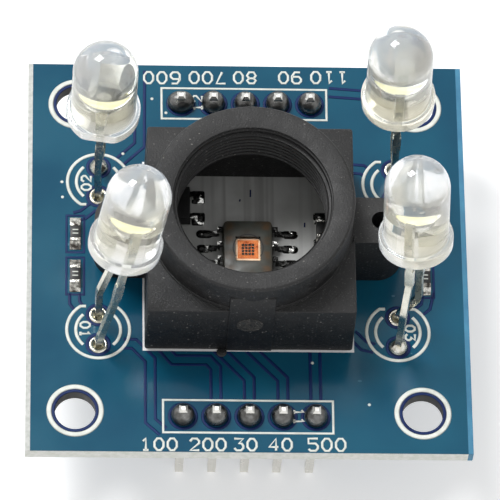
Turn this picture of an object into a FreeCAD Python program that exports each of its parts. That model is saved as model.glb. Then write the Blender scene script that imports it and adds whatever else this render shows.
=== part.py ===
# Colour sensor module: a small circuit board that carries a clear light sensor chip in the
# middle, a black moulded lens holder over the chip, four clear lamps on long bent leads round
# the holder, two rows of header pins that point down, and a few small chip parts.
#
# Frame: millimetres, +Z up. The origin is the centre of the four mounting holes, on the
# board's underside. +X is to the right and +Y to the back, with the pins pointing down.

import FreeCAD
import Part
import Sketcher
import math
import os
import re
from FreeCAD import Placement, Rotation, Vector

doc = FreeCAD.newDocument("color_sensor_module")
sheet = doc.addObject("Spreadsheet::Sheet", "Sizes")

# Driving dimensions, in millimetres and degrees
SIZES = {
    # circuit board
    "board_width": 34.2,
    "board_depth": 33.6,
    "board_thick": 1.2,
    "board_shift_y": 0.1,
    "mount_spacing_x": 26.6,
    "mount_spacing_y": 26.6,
    "mount_hole": 3.2,
    # header strips and their pins
    "header_pitch": 2.54,
    "header_spacing": 27.16,
    "header_shift_y": -0.12,
    "strip_depth": 2.5,
    "strip_height": 2.54,
    "strip_notch": 0.45,
    "pin_side": 0.64,
    "pin_above": 1.5,
    "pin_below": 6.0,
    "pin_point": 0.17,
    "pin_hole": 1.02,
    "pin_solder_spread": 0.5,
    "pin_solder_collar": 0.1,
    "pin_solder_height": 1.15,
    # lens holder
    "holder_side": 16.0,
    "holder_height": 6.4,
    "holder_draft": 0.6,
    "barrel_width": 15.6,
    "barrel_height": 10.2,
    "barrel_lip": 0.35,
    "thread_bore": 11.46,
    "chamber_side": 14.0,
    "chamber_height": 5.0,
    "ear_width": 3.9,
    "rib_width": 3.5,
    "rib_proud": 0.12,
    "rib_height": 8.2,
    "rib_shoulder": 5.4,
    # holder screws
    "screw_spacing": 20.0,
    "screw_core": 1.5,
    "screw_bite": 4.2,
    "screw_clearance": 0.02,
    "screw_board_hole": 2.1,
    "screw_head": 3.6,
    "screw_head_height": 1.3,
    # sensor chip
    "package_width": 3.9,
    "package_length": 4.9,
    "package_height": 1.4,
    "package_standoff": 0.12,
    "package_draft": 5.0,
    "paddle_width": 2.5,
    "paddle_length": 3.2,
    "paddle_level": 0.75,
    "foil": 0.2,
    "die_width": 1.85,
    "die_length": 1.85,
    "die_thick": 0.25,
    "leg_pitch": 1.27,
    "leg_span": 6.0,
    "leg_width": 0.42,
    "leg_foot": 0.6,
    # transistor
    "transistor_x": 5.05,
    "transistor_y": 4.15,
    "transistor_width": 1.3,
    "transistor_length": 2.9,
    "transistor_height": 0.95,
    "transistor_standoff": 0.1,
    "transistor_level": 0.45,
    "transistor_pitch": 1.9,
    "transistor_span": 2.5,
    "transistor_leg": 0.4,
    "transistor_foot": 0.3,
    # chip resistors and the chip capacitor
    "resistor_left": 13.34,
    "resistor_right": 13.76,
    "resistor_spacing": 3.65,
    "resistor_height": 0.45,
    "capacitor_x": 5.8,
    "capacitor_y": 2.2,
    "capacitor_height": 0.8,
    "chip_length": 1.6,
    "chip_width": 0.8,
    "chip_cap": 0.3,
    "chip_cap_proud": 0.03,
    # lamps
    "lamp_spacing_x": 23.1,
    "lamp_spacing_y": 12.84,
    "lamp_width": 4.95,
    "lamp_length": 8.6,
    "lamp_rim_width": 5.65,
    "lamp_rim_height": 1.0,
    "lamp_flat": 2.52,
    "lead_pitch": 2.54,
    "lead_side": 0.5,
    "lead_stub_side": 0.64,
    "lead_stub_start": 3.2,
    "lead_stub_length": 1.7,
    "lead_bend": 1.0,
    "lead_hole": 0.9,
    "lead_tail": 1.1,
    "post_height": 3.9,
    "post_gap": 0.15,
    "anvil_rise": 1.1,
    "anvil_thick": 0.5,
    "cup_seat": 2.8,
    "cup_rim": 3.65,
    "cup_width": 1.7,
    "cup_foot_width": 1.0,
    "cup_wall": 0.15,
    "cup_floor": 0.35,
    "lamp_solder_spread": 0.5,
    "lamp_solder_collar": 0.1,
    "lamp_solder_height": 0.8,
    # pose of each lamp: height of its base over the board, shift of that base from its two
    # pads, lean to the right and to the back, and turn about its own axis
    "front_left_height": 10.5,
    "front_left_shift_x": 1.75,
    "front_left_shift_y": 1.82,
    "front_left_lean_x": 9.0,
    "front_left_lean_y": 11.0,
    "front_left_turn": 10.0,
    "rear_left_height": 11.0,
    "rear_left_shift_x": 0.13,
    "rear_left_shift_y": 0.13,
    "rear_left_lean_x": 0.6,
    "rear_left_lean_y": 1.0,
    "rear_left_turn": -8.0,
    "front_right_height": 11.5,
    "front_right_shift_x": 0.56,
    "front_right_shift_y": 1.97,
    "front_right_lean_x": -2.8,
    "front_right_lean_y": 14.2,
    "front_right_turn": -21.0,
    "rear_right_height": 12.5,
    "rear_right_shift_x": -0.57,
    "rear_right_shift_y": 0.68,
    "rear_right_lean_x": -2.1,
    "rear_right_lean_y": 2.7,
    "rear_right_turn": 0.0,
    # each lead leaves its lamp straight, for the run below, then slants to a riser over its pad
    "front_left_front_run": 4.8,
    "front_left_front_riser": 0.6,
    "front_left_rear_run": 4.3,
    "front_left_rear_riser": 4.0,
    "rear_left_front_run": 8.0,
    "rear_left_front_riser": 0.6,
    "rear_left_rear_run": 8.0,
    "rear_left_rear_riser": 0.6,
    "front_right_front_run": 3.5,
    "front_right_front_riser": 5.6,
    "front_right_rear_run": 7.8,
    "front_right_rear_riser": 0.6,
    "rear_right_front_run": 8.5,
    "rear_right_front_riser": 1.0,
    "rear_right_rear_run": 8.5,
    "rear_right_rear_riser": 1.0,
}

HEADER_PINS = 5
LEGS_PER_SIDE = 4
# Flat sides that stand in for the round of a small hole, a solder joint or a cup
SMALL_SIDES = 8
# Straight steps in the outline of a lamp's dome
DOME_STEPS = 5
# A bend in a lead that turns less than this, in radians, is a plain corner
SLIGHT_TURN = 0.2
# The most of a lead's straight run that one bend may take up
ARC_SHARE = 0.45
# The sweep's way round a plain corner
MITRE = 1
# Each lamp's sides: left or right, front or rear, and the side of its flat and cathode
LAMPS = {
    "front_left": (-1, -1, 1),
    "rear_left": (-1, 1, -1),
    "front_right": (1, -1, 1),
    "rear_right": (1, 1, 1),
}

for row, (alias, amount) in enumerate(SIZES.items(), start=1):
    sheet.set("A%d" % row, alias.replace("_", " "))
    sheet.set("B%d" % row, str(amount))
    sheet.setAlias("B%d" % row, alias)
doc.recompute()


# Expressions, sketches and features

def linked(text):
    """An expression over size names, with each name tied to its cell of the sheet."""
    return re.sub("[a-z_]+", lambda word: "Sizes." + word[0] if word[0] in SIZES else word[0], text)


def size(text):
    """The present value of an expression over size names."""
    return float(sheet.evalExpression(linked(text)))


def new_body(name):
    body = doc.addObject("PartDesign::Body", name)
    body.Label = name
    return body


def place(body, x="0", y="0", z="0"):
    for axis, text in (("x", x), ("y", y), ("z", z)):
        body.setExpression("Placement.Base." + axis, linked(text))


def new_sketch(body, role="XY_Plane", level="0"):
    """A sketch on one of the body's own origin planes, moved along that plane's normal."""
    sketch = body.newObject("Sketcher::SketchObject", body.Name + "_sketch")
    plane = [feature for feature in body.Origin.OriginFeatures if feature.Role == role][0]
    sketch.AttachmentSupport = [(plane, "")]
    sketch.MapMode = "FlatFace"
    sketch.setExpression("AttachmentOffset.Base.z", linked(level))
    return sketch


def bind(sketch, kind, items, text):
    index = sketch.addConstraint(Sketcher.Constraint(kind, *items, size(text)))
    sketch.setExpression("Constraints[%d]" % index, linked(text))


def hold_point(sketch, geometry, point, x, y):
    """Hold one point of the sketch at x and y from the sketch's origin."""
    bind(sketch, "DistanceX", (-1, 1, geometry, point), x)
    bind(sketch, "DistanceY", (-1, 1, geometry, point), y)


def draw_outline(sketch, corners):
    """A closed outline of straight lines through corners given as pairs of expressions."""
    points = [Vector(size(x), size(y), 0) for x, y in corners]
    first = sketch.GeometryCount
    for index, point in enumerate(points):
        sketch.addGeometry(Part.LineSegment(point, points[(index + 1) % len(points)]))
    for index, (x, y) in enumerate(corners):
        following = first + (index + 1) % len(points)
        sketch.addConstraint(Sketcher.Constraint("Coincident", first + index, 2, following, 1))
        hold_point(sketch, first + index, 1, x, y)


def draw_rectangle(sketch, width, depth, x="0", y="0"):
    """A rectangle of the given width and depth about the point x, y."""
    left, right = "%s - %s / 2" % (x, width), "%s + %s / 2" % (x, width)
    front, back = "%s - %s / 2" % (y, depth), "%s + %s / 2" % (y, depth)
    draw_outline(sketch, [(left, front), (right, front), (right, back), (left, back)])


def draw_circle(sketch, x, y, diameter):
    centre = Vector(size(x), size(y), 0)
    circle = Part.Circle(centre, Vector(0, 0, 1), size(diameter) / 2)
    index = sketch.addGeometry(circle)
    hold_point(sketch, index, 3, x, y)
    bind(sketch, "Diameter", (index,), diameter)


def draw_polygon(sketch, x, y, width):
    """A regular polygon of SMALL_SIDES sides, measured across its corners."""
    corners = []
    for index in range(SMALL_SIDES):
        angle = 360 * index / SMALL_SIDES
        corner_x = "%s + (%s) / 2 * cos(%s)" % (x, width, angle)
        corner_y = "%s + (%s) / 2 * sin(%s)" % (y, width, angle)
        corners.append((corner_x, corner_y))
    draw_outline(sketch, corners)


def add_pad(body, sketch, length, both_ways=False, draft=None):
    pad = body.newObject("PartDesign::Pad", body.Name + "_pad")
    pad.Profile = sketch
    pad.Midplane = both_ways
    pad.setExpression("Length", linked(length))
    if draft:
        pad.setExpression("TaperAngle", linked("0 - " + draft))
    doc.recompute()
    return pad


def add_pocket(body, sketch, depth=None, upwards=False):
    """Cut the sketch out of the body, to a depth or all the way through."""
    pocket = body.newObject("PartDesign::Pocket", body.Name + "_pocket")
    pocket.Profile = sketch
    pocket.Reversed = upwards
    if depth:
        pocket.setExpression("Length", linked(depth))
    else:
        pocket.Type = "ThroughAll"
    doc.recompute()
    return pocket


def add_revolution(body, sketch):
    turn = body.newObject("PartDesign::Revolution", body.Name + "_turn")
    turn.Profile = sketch
    turn.ReferenceAxis = (sketch, ["V_Axis"])
    doc.recompute()
    return turn


def add_edge_feature(body, kind, base, wanted, amount):
    """Round or bevel the edges of the base feature that the wanted test picks."""
    edges = ["Edge%d" % index for index, edge in enumerate(base.Shape.Edges, 1) if wanted(edge)]
    feature = body.newObject("PartDesign::" + kind, body.Name + "_" + kind.lower())
    feature.Base = (base, edges)
    feature.setExpression("Radius" if kind == "Fillet" else "Size", linked(amount))
    doc.recompute()
    return feature


def add_cut(name, base, tool):
    cut = doc.addObject("Part::Cut", name)
    cut.Base = base
    cut.Tool = tool
    cut.Label = name
    doc.recompute()
    return cut


def add_group(name, members):
    group = doc.addObject("Part::Compound", name)
    group.Links = members
    group.Label = name
    return group


def add_shape(name, shape, pose=None):
    feature = doc.addObject("Part::Feature", name)
    feature.Shape = shape
    feature.Label = name
    if pose:
        feature.Placement = pose
    return feature


def funnel(bottom_width, top_width, bottom, top):
    """An upright funnel of SMALL_SIDES flat sides about the Z axis, between two levels."""
    rings = []
    for width, level in ((bottom_width, bottom), (top_width, top)):
        corners = []
        for index in range(SMALL_SIDES + 1):
            angle = 2 * math.pi * (index + 0.5) / SMALL_SIDES
            corners.append(Vector(width / 2 * math.cos(angle), width / 2 * math.sin(angle), level))
        rings.append(corners)
    faces = [Part.Face(Part.makePolygon(ring)) for ring in rings]
    lower, upper = rings
    for index in range(SMALL_SIDES):
        quad = [lower[index], lower[index + 1], upper[index + 1], upper[index], lower[index]]
        faces.append(Part.Face(Part.makePolygon(quad)))
    return Part.Solid(Part.Shell(faces))


# Circuit board

def header_pin_x(index):
    return "%s * header_pitch" % (index - (HEADER_PINS - 1) / 2)


def lamp_pad(name, end):
    """Where the front (-1) or rear (1) lead of a lamp goes through the board."""
    across, along, cathode_end = LAMPS[name]
    x = "%d * lamp_spacing_x / 2" % across
    y = "%d * lamp_spacing_y / 2 + %d * lead_pitch / 2" % (along, end)
    return x, y


def header_row_y(side):
    return "header_shift_y + %d * header_spacing / 2" % side


def make_small_hole(name, x, y, width):
    """A cutter for one plated hole, from under the board to over it."""
    cutter = doc.addObject("Part::Prism", name)
    cutter.Polygon = SMALL_SIDES
    cutter.setExpression("Circumradius", linked(width + " / 2"))
    cutter.setExpression("Height", linked("board_thick * 3"))
    place(cutter, x, y, "0 - board_thick")
    return cutter


def make_circuit_board():
    """The board, with mounting holes, holes under the ears and plated holes for the leads."""
    body = new_body("board_blank")
    outline = new_sketch(body)
    draw_rectangle(outline, "board_width", "board_depth", y="board_shift_y")
    add_pad(body, outline, "board_thick")
    holes = new_sketch(body)
    for side in (-1, 1):
        for end in (-1, 1):
            x = "%d * mount_spacing_x / 2" % side
            y = "%d * mount_spacing_y / 2" % end
            draw_circle(holes, x, y, "mount_hole")
        draw_polygon(holes, "%d * screw_spacing / 2" % side, "0", "screw_board_hole")
    add_pocket(body, holes, upwards=True)

    cutters = []
    for side in (-1, 1):
        for index in range(HEADER_PINS):
            name = "pin_hole_%d" % (len(cutters) + 1)
            cutters.append(make_small_hole(name, header_pin_x(index), header_row_y(side), "pin_hole"))
    for lamp in LAMPS:
        for end in (-1, 1):
            name = "lead_hole_%d" % (len(cutters) + 1)
            cutters.append(make_small_hole(name, *lamp_pad(lamp, end), "lead_hole"))
    return add_cut("circuit_board", body, add_group("plated_holes", cutters))


# Header strips, their pins and the solder round the pins

def make_header_strip(name, side):
    """A moulded strip under the board, notched between its pins."""
    body = new_body(name)
    length = "%d * header_pitch" % HEADER_PINS
    block = new_sketch(body, level="0 - strip_height")
    draw_rectangle(block, "(%s)" % length, "strip_depth")
    add_pad(body, block, "strip_height")
    notches = new_sketch(body, level="0 - strip_height")
    for edge in (-1, 1):
        outer = "%d * strip_depth / 2" % edge
        inner = "%d * (strip_depth / 2 - strip_notch)" % edge
        for index in range(HEADER_PINS - 1):
            middle = "%s * header_pitch" % (index + 1 - HEADER_PINS / 2)
            left = "%s - strip_notch" % middle
            right = "%s + strip_notch" % middle
            draw_outline(notches, [(left, outer), (right, outer), (middle, inner)])
        for end in (-1, 1):
            tip = "%d * %s / 2" % (end, length)
            back = "%d * (%s / 2 - strip_notch)" % (end, length)
            draw_outline(notches, [(tip, outer), (back, outer), (tip, inner)])
    for index in range(HEADER_PINS):
        draw_rectangle(notches, "pin_side", "pin_side", x=header_pin_x(index))
    add_pocket(body, notches, upwards=True)
    place(body, y=header_row_y(side))
    return body


def make_header_pin(name, index, side):
    """A square pin through the strip and the board, pointed at both ends."""
    body = new_body(name)
    section = new_sketch(body, level="0 - strip_height - pin_below")
    draw_rectangle(section, "pin_side", "pin_side")
    shaft = add_pad(body, section, "pin_below + strip_height + board_thick + pin_above")
    add_edge_feature(body, "Chamfer", shaft, is_level, "pin_point")
    place(body, x=header_pin_x(index), y=header_row_y(side))
    return body


def is_level(edge):
    """True for an edge that lies in a level plane."""
    return edge.BoundBox.ZLength < 0.001


def make_solder(name, spots, kind, side, leads, under=False):
    """Solder round each lead where it leaves the board: wide on the board, narrow outside."""
    corner_to_corner = math.sqrt(2) * size(side)
    foot = corner_to_corner + 2 * size(kind + "_solder_spread")
    neck = corner_to_corner + 2 * size(kind + "_solder_collar")
    height = size(kind + "_solder_height")
    if under:
        joint = funnel(neck, foot, -height, 0)
    else:
        joint = funnel(foot, neck, size("board_thick"), size("board_thick") + height)
    joints = [joint.translated(Vector(size(x), size(y), 0)) for x, y in spots]
    blank = add_shape(name + "_blank", Part.Compound(joints))
    return add_cut(name, blank, add_group(name + "_leads", leads))


def make_header_solder(name, side, pins):
    spots = [(header_pin_x(index), header_row_y(side)) for index in range(HEADER_PINS)]
    return make_solder(name, spots, "pin", "pin_side", pins)


# Lens holder

def make_lens_holder():
    """Drafted square base with a chamber under it, a round barrel and two screw ears."""
    body = new_body("lens_holder")
    base = new_sketch(body)
    draw_rectangle(base, "holder_side", "holder_side")
    add_pad(body, base, "holder_height", draft="holder_draft")

    ears = new_sketch(body)
    draw_rectangle(ears, "screw_spacing", "ear_width")
    add_pad(body, ears, "holder_height")
    for side in (-1, 1):
        ear_end = new_sketch(body)
        draw_circle(ear_end, "%d * screw_spacing / 2" % side, "0", "ear_width")
        add_pad(body, ear_end, "holder_height")

    rib = new_sketch(body, role="YZ_Plane")
    face = "0 - holder_side / 2 - rib_proud"
    draw_outline(rib, [
        ("0 - barrel_width / 4", "0"),
        (face, "0"),
        (face, "rib_shoulder"),
        ("0 - barrel_width / 2", "rib_height"),
        ("0 - barrel_width / 4", "rib_height"),
    ])
    add_pad(body, rib, "rib_width", both_ways=True)

    barrel = new_sketch(body, level="chamber_height")
    draw_circle(barrel, "0", "0", "barrel_width")
    tube = add_pad(body, barrel, "barrel_height - chamber_height")
    top = size("barrel_height")
    add_edge_feature(body, "Chamfer", tube, lambda edge: edge.BoundBox.ZMin > top - 0.01, "barrel_lip")

    chamber = new_sketch(body)
    draw_rectangle(chamber, "chamber_side", "chamber_side")
    add_pocket(body, chamber, depth="chamber_height", upwards=True)

    bore = new_sketch(body)
    draw_circle(bore, "0", "0", "thread_bore")
    for side in (-1, 1):
        draw_circle(bore, "%d * screw_spacing / 2" % side, "0", "screw_core")
    add_pocket(body, bore, upwards=True)
    place(body, z="board_thick")
    return body


def make_holder_screw(name, side):
    """A pan head screw from under the board that bites into an ear."""
    body = new_body(name)
    profile = new_sketch(body, role="XZ_Plane")
    core = "screw_core / 2 - screw_clearance"
    draw_outline(profile, [
        ("0", "0 - screw_head_height"),
        ("screw_head / 2", "0 - screw_head_height"),
        ("screw_head / 2", "0"),
        (core, "0"),
        (core, "board_thick + screw_bite"),
        ("0", "board_thick + screw_bite"),
    ])
    add_revolution(body, profile)
    place(body, x="%d * screw_spacing / 2" % side)
    return body


# Sensor chip

def make_block(name, width, length, level, height, draft=None):
    """A plain or drafted block about the Z axis, from a level over the board's top."""
    body = new_body(name)
    plan = new_sketch(body)
    draw_rectangle(plan, width, length)
    add_pad(body, plan, height, draft=draft)
    place(body, z="board_thick + " + level)
    return body


def make_sensor_chip():
    """A clear package moulded round a metal paddle and the sensor die on it."""
    paddle = make_block("sensor_paddle", "paddle_width", "paddle_length", "paddle_level", "foil")
    die = make_block("sensor_die", "die_width", "die_length", "paddle_level + foil", "die_thick")
    block = make_block(
        "package_block", "package_width", "package_length", "package_standoff", "package_height",
        draft="package_draft")
    emptied = add_cut("package_over_paddle", block, paddle)
    package = add_cut("sensor_package", emptied, die)
    return [package, paddle, die]


def draw_leg(sketch, root, toe, foot, height):
    """The bent strip of a gull-wing leg: out of the package at a height, down and out."""
    knee = "(%s + %s - %s) / 2 + foil" % (root, toe, foot)
    draw_outline(sketch, [
        (root, height),
        (knee + " - foil", height),
        (knee + " - foil", "0"),
        (toe, "0"),
        (toe, "foil"),
        (knee, "foil"),
        (knee, height + " + foil"),
        (root, height + " + foil"),
    ])


def make_leg(name, root, toe, foot, height, width):
    body = new_body(name)
    strip = new_sketch(body, role="XZ_Plane")
    draw_leg(strip, root, toe, foot, height)
    add_pad(body, strip, width, both_ways=True)
    return body


def make_sensor_legs():
    """Four legs a side, bent from the same sheet as the paddle."""
    legs = []
    root = "(package_width / 2 - (paddle_level - package_standoff) * tan(package_draft))"
    for side in (-1, 1):
        for index in range(LEGS_PER_SIDE):
            name = "sensor_leg_%s_%d" % ("left" if side < 0 else "right", index + 1)
            leg = make_leg(name, root, "leg_span / 2", "leg_foot", "paddle_level", "leg_width")
            leg.Placement.Rotation = Rotation(Vector(0, 0, 1), 0 if side > 0 else 180)
            place(leg, y="%s * leg_pitch" % (index - (LEGS_PER_SIDE - 1) / 2), z="board_thick")
            legs.append(leg)
    return legs


# Transistor beside the sensor chip

def make_transistor():
    """A three-legged package: two legs towards the sensor chip and one away from it."""
    body = make_block(
        "transistor_package", "transistor_width", "transistor_length", "transistor_standoff",
        "transistor_height", draft="package_draft")
    place(body, x="0 - transistor_x", y="transistor_y", z="board_thick + transistor_standoff")
    parts = [body]
    rise = "(transistor_level - transistor_standoff)"
    root = "(transistor_width / 2 - %s * tan(package_draft))" % rise
    for index, (turn, end) in enumerate(((0, -1), (0, 1), (180, 0)), 1):
        leg = make_leg(
            "transistor_leg_%d" % index, root, "transistor_span / 2", "transistor_foot",
            "transistor_level", "transistor_leg")
        leg.Placement.Rotation = Rotation(Vector(0, 0, 1), turn)
        place(
            leg, x="0 - transistor_x", y="transistor_y + %d * transistor_pitch / 2" % end,
            z="board_thick")
        parts.append(leg)
    return parts


# Chip resistors and capacitor

def make_chip(name, x, y, height):
    """A chip part that lies along Y: a ceramic block with a metal cap over each end."""
    body = new_body(name)
    block = new_sketch(body, level="chip_cap_proud")
    draw_rectangle(block, "chip_width", "(chip_length - chip_cap)")
    add_pad(body, block, height)
    for end in (-1, 1):
        cap = new_sketch(body)
        draw_rectangle(
            cap, "(chip_width + 2 * chip_cap_proud)", "chip_cap",
            y="%d * (chip_length - chip_cap) / 2" % end)
        add_pad(body, cap, height + " + 2 * chip_cap_proud")
    place(body, x, y, "board_thick")
    return body


def make_chips():
    chips = [make_chip("capacitor", "capacitor_x", "capacitor_y", "capacitor_height")]
    for side, x in (("left", "0 - resistor_left"), ("right", "resistor_right")):
        for end, sign in (("front", -1), ("rear", 1)):
            y = "%d * resistor_spacing / 2" % sign
            chips.append(make_chip("resistor_%s_%s" % (end, side), x, y, "resistor_height"))
    return chips


# Lamps

def lamp_pose(name):
    """Placement of a lamp: the centre of its base, leaned and turned."""
    across, along, cathode_end = LAMPS[name]
    x = "%d * lamp_spacing_x / 2 + %s_shift_x" % (across, name)
    y = "%d * lamp_spacing_y / 2 + %s_shift_y" % (along, name)
    base = Vector(size(x), size(y), size("board_thick + %s_height" % name))
    slope_x = math.tan(math.radians(size(name + "_lean_x")))
    slope_y = math.tan(math.radians(size(name + "_lean_y")))
    lean = Rotation(Vector(0, 0, 1), Vector(slope_x, slope_y, 1))
    turn = Rotation(Vector(0, 0, 1), size(name + "_turn"))
    return Placement(base, lean * turn)


def make_lamp_blank(name):
    """Clear moulded body: a rim with one flat, a round shank and a domed top."""
    cathode_end = LAMPS[name][2]
    body = new_body("led_%s_blank" % name)
    profile = new_sketch(body, role="XZ_Plane")
    radius = "lamp_width / 2"
    corners = [
        ("0", "0"),
        ("lamp_rim_width / 2", "0"),
        ("lamp_rim_width / 2", "lamp_rim_height"),
        (radius, "lamp_rim_height"),
    ]
    for step in range(DOME_STEPS + 1):
        angle = 90 * step / DOME_STEPS
        height = "lamp_length - %s * (1 - sin(%s))" % (radius, angle)
        corners.append(("%s * cos(%s)" % (radius, angle), height))
    draw_outline(profile, corners)
    add_revolution(body, profile)

    flat = new_sketch(body)
    draw_rectangle(
        flat, "lamp_rim_width", "lamp_rim_width",
        y="%d * (lamp_flat + lamp_rim_width / 2)" % cathode_end)
    add_pocket(body, flat, depth="lamp_rim_height", upwards=True)
    body.Placement = lamp_pose(name)
    return body


def rounded_path(points, radius):
    """Straight runs through points, joined by tangent arcs."""
    edges = []
    start = points[0]
    for before, corner, after in zip(points, points[1:], points[2:]):
        inward = (before - corner).normalize()
        outward = (after - corner).normalize()
        half_turn = (math.pi - inward.getAngle(outward)) / 2
        if half_turn < SLIGHT_TURN / 2:
            edges.append(Part.LineSegment(start, corner).toShape())
            start = corner
            continue
        room = ARC_SHARE * min(before.distanceToPoint(corner), after.distanceToPoint(corner))
        setback = min(radius * math.tan(half_turn), room)
        used = setback / math.tan(half_turn)
        centre = corner + (inward + outward).normalize() * (used / math.cos(half_turn))
        middle = centre + (corner - centre).normalize() * used
        first, last = corner + inward * setback, corner + outward * setback
        edges.append(Part.LineSegment(start, first).toShape())
        edges.append(Part.Arc(first, middle, last).toShape())
        start = last
    edges.append(Part.LineSegment(start, points[-1]).toShape())
    return Part.Wire(edges)


def lead_points(name, end):
    """The lead's line, from the lamp's base down to its tail under the board."""
    pose = lamp_pose(name)
    local_y = end * size("lead_pitch / 2")
    where = "%s_%s" % (name, "front" if end < 0 else "rear")
    x, y = (size(text) for text in lamp_pad(name, end))
    return [
        pose.multVec(Vector(0, local_y, 0)),
        pose.multVec(Vector(0, local_y, -size(where + "_run"))),
        Vector(x, y, size("board_thick + %s_riser" % where)),
        Vector(x, y, -size("lead_tail")),
    ]


def square_at(pose, y, side):
    """A square of the given side in the lamp's base plane, about the point y on its Y axis."""
    half = side / 2
    corners = [(-half, y - half), (half, y - half), (half, y + half), (-half, y + half)]
    points = [pose.multVec(Vector(along, across, 0)) for along, across in corners]
    return Part.makePolygon(points + points[:1])


def make_lead_wire(name, end):
    """The lead outside the lamp: a bent square wire with the stub of its tie bar."""
    pose = lamp_pose(name)
    local_y = end * size("lead_pitch / 2")
    path = rounded_path(lead_points(name, end), size("lead_bend"))
    wire = path.makePipeShell([square_at(pose, local_y, size("lead_side"))], True, False, MITRE)
    side, length = size("lead_stub_side"), size("lead_stub_length")
    run = size("%s_%s_run" % (name, "front" if end < 0 else "rear"))
    start = min(size("lead_stub_start"), run - length)
    stub = Part.makeBox(side, size("lead_side"), length)
    stub.translate(Vector(-side / 2, local_y - size("lead_side") / 2, -start - length))
    stub.Placement = pose.multiply(stub.Placement)
    return wire.fuse(stub)


def plate(outline, thick):
    """A plate in the YZ plane, of the given thickness about that plane."""
    points = [Vector(-thick / 2, y, z) for y, z in outline]
    return Part.Face(Part.makePolygon(points + points[:1])).extrude(Vector(thick, 0, 0))


def anode_post(end):
    """The thin post: it stands beside the cup and carries the bond wire."""
    outer = end * (size("lead_pitch") + size("lead_side")) / 2
    inner = end * (size("lead_pitch") - size("lead_side")) / 2
    beside_cup = end * (size("cup_width") / 2 + size("post_gap"))
    top, seat = size("post_height"), size("cup_seat")
    return plate([
        (outer, 0),
        (outer, top),
        (beside_cup, top),
        (beside_cup, seat),
        (inner, seat - size("anvil_rise")),
        (inner, 0),
    ], size("lead_side"))


def cathode_post(end):
    """The wide anvil that leans in to the lamp's axis and carries the reflector cup."""
    outer = end * (size("lead_pitch") + size("lead_side")) / 2
    inner = end * (size("lead_pitch") - size("lead_side")) / 2
    foot = end * size("cup_foot_width") / 2
    seat, under = size("cup_seat"), size("cup_seat") - size("anvil_thick")
    anvil = plate([
        (outer, 0),
        (outer, seat - size("anvil_rise")),
        (foot, seat),
        (-foot, seat),
        (-foot, under),
        (foot / 2, under),
        (inner, under - size("anvil_rise")),
        (inner, 0),
    ], size("lead_side"))
    cup = funnel(size("cup_foot_width"), size("cup_width"), seat, size("cup_rim"))
    return anvil.fuse(cup).cut(cup_filling())


def cup_filling():
    """The space in the reflector cup, which the phosphor fills."""
    wall = size("cup_wall")
    floor = size("cup_seat + cup_floor")
    return funnel(
        size("cup_foot_width") - 2 * wall, size("cup_width") - 2 * wall, floor, size("cup_rim"))


def posed(shape, pose):
    """The shape carried to a lamp's pose, ready to be joined with that lamp's wire."""
    moved = shape.copy()
    moved.Placement = pose
    return moved


def make_lamp(name):
    """One lamp: clear body, two leads with their posts, and the phosphor in the cup."""
    label = "led_" + name
    pose = lamp_pose(name)
    cathode_end = LAMPS[name][2]
    cathode = make_lead_wire(name, cathode_end).fuse(posed(cathode_post(cathode_end), pose))
    anode = make_lead_wire(name, -cathode_end).fuse(posed(anode_post(-cathode_end), pose))
    leads = {
        cathode_end: add_shape(label + "_cathode", cathode.removeSplitter()),
        -cathode_end: add_shape(label + "_anode", anode.removeSplitter()),
    }
    phosphor = add_shape(label + "_phosphor", cup_filling(), pose)
    blank = make_lamp_blank(name)
    for index, inner in enumerate((leads[-1], leads[1])):
        blank = add_cut("%s_around_lead_%d" % (label, index + 1), blank, inner)
    lens = add_cut(label + "_lens", blank, phosphor)
    spots = [lamp_pad(name, end) for end in (-1, 1)]
    solder = make_solder(
        label + "_solder", spots, "lamp", "lead_side", [leads[-1], leads[1]], under=True)
    return [lens, leads[-1], leads[1], phosphor, solder]


# The whole module

def make_headers():
    nodes = []
    for place_name, side in (("front", -1), ("rear", 1)):
        nodes.append(make_header_strip("header_%s_strip" % place_name, side))
        pins = [
            make_header_pin("header_%s_pin_%d" % (place_name, index + 1), index, side)
            for index in range(HEADER_PINS)]
        nodes.extend(pins)
        nodes.append(make_header_solder("header_%s_solder" % place_name, side, pins))
    return nodes


def make_module():
    nodes = [make_circuit_board(), make_lens_holder()]
    nodes.append(make_holder_screw("holder_screw_left", -1))
    nodes.append(make_holder_screw("holder_screw_right", 1))
    nodes.extend(make_headers())
    nodes.extend(make_sensor_chip())
    nodes.extend(make_sensor_legs())
    nodes.extend(make_transistor())
    nodes.extend(make_chips())
    for name in LAMPS:
        nodes.extend(make_lamp(name))
    return nodes


def check(nodes):
    """Stop if any object of the document failed, or if a sub-part has no sound solid."""
    for item in doc.Objects:
        if "Invalid" in item.State or "Error" in item.State:
            raise RuntimeError("failed: " + item.Name)
    for node in nodes:
        shape = node.Shape
        if shape.isNull() or not shape.isValid() or not shape.Solids:
            raise RuntimeError("no sound solid: " + node.Label)


nodes = make_module()
doc.recompute()
check(nodes)
os.makedirs("parts", exist_ok=True)
for node in nodes:
    node.Shape.exportStep("parts/%s.step" % node.Label)
    print(node.Label, len(node.Shape.Solids), round(node.Shape.Volume, 3))
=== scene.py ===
# %% [markdown]
# # A colour sensor module in Blender
#
# This lesson dresses a small circuit module: a blue board with white printed lines, a black
# moulded lens holder in the middle, four clear lamps on long bent leads, two rows of header
# pins and a handful of chip parts.

# %% Load the frame and the tools
import math
import random

import bmesh
import bpy
from mathutils import Matrix, Vector


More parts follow.
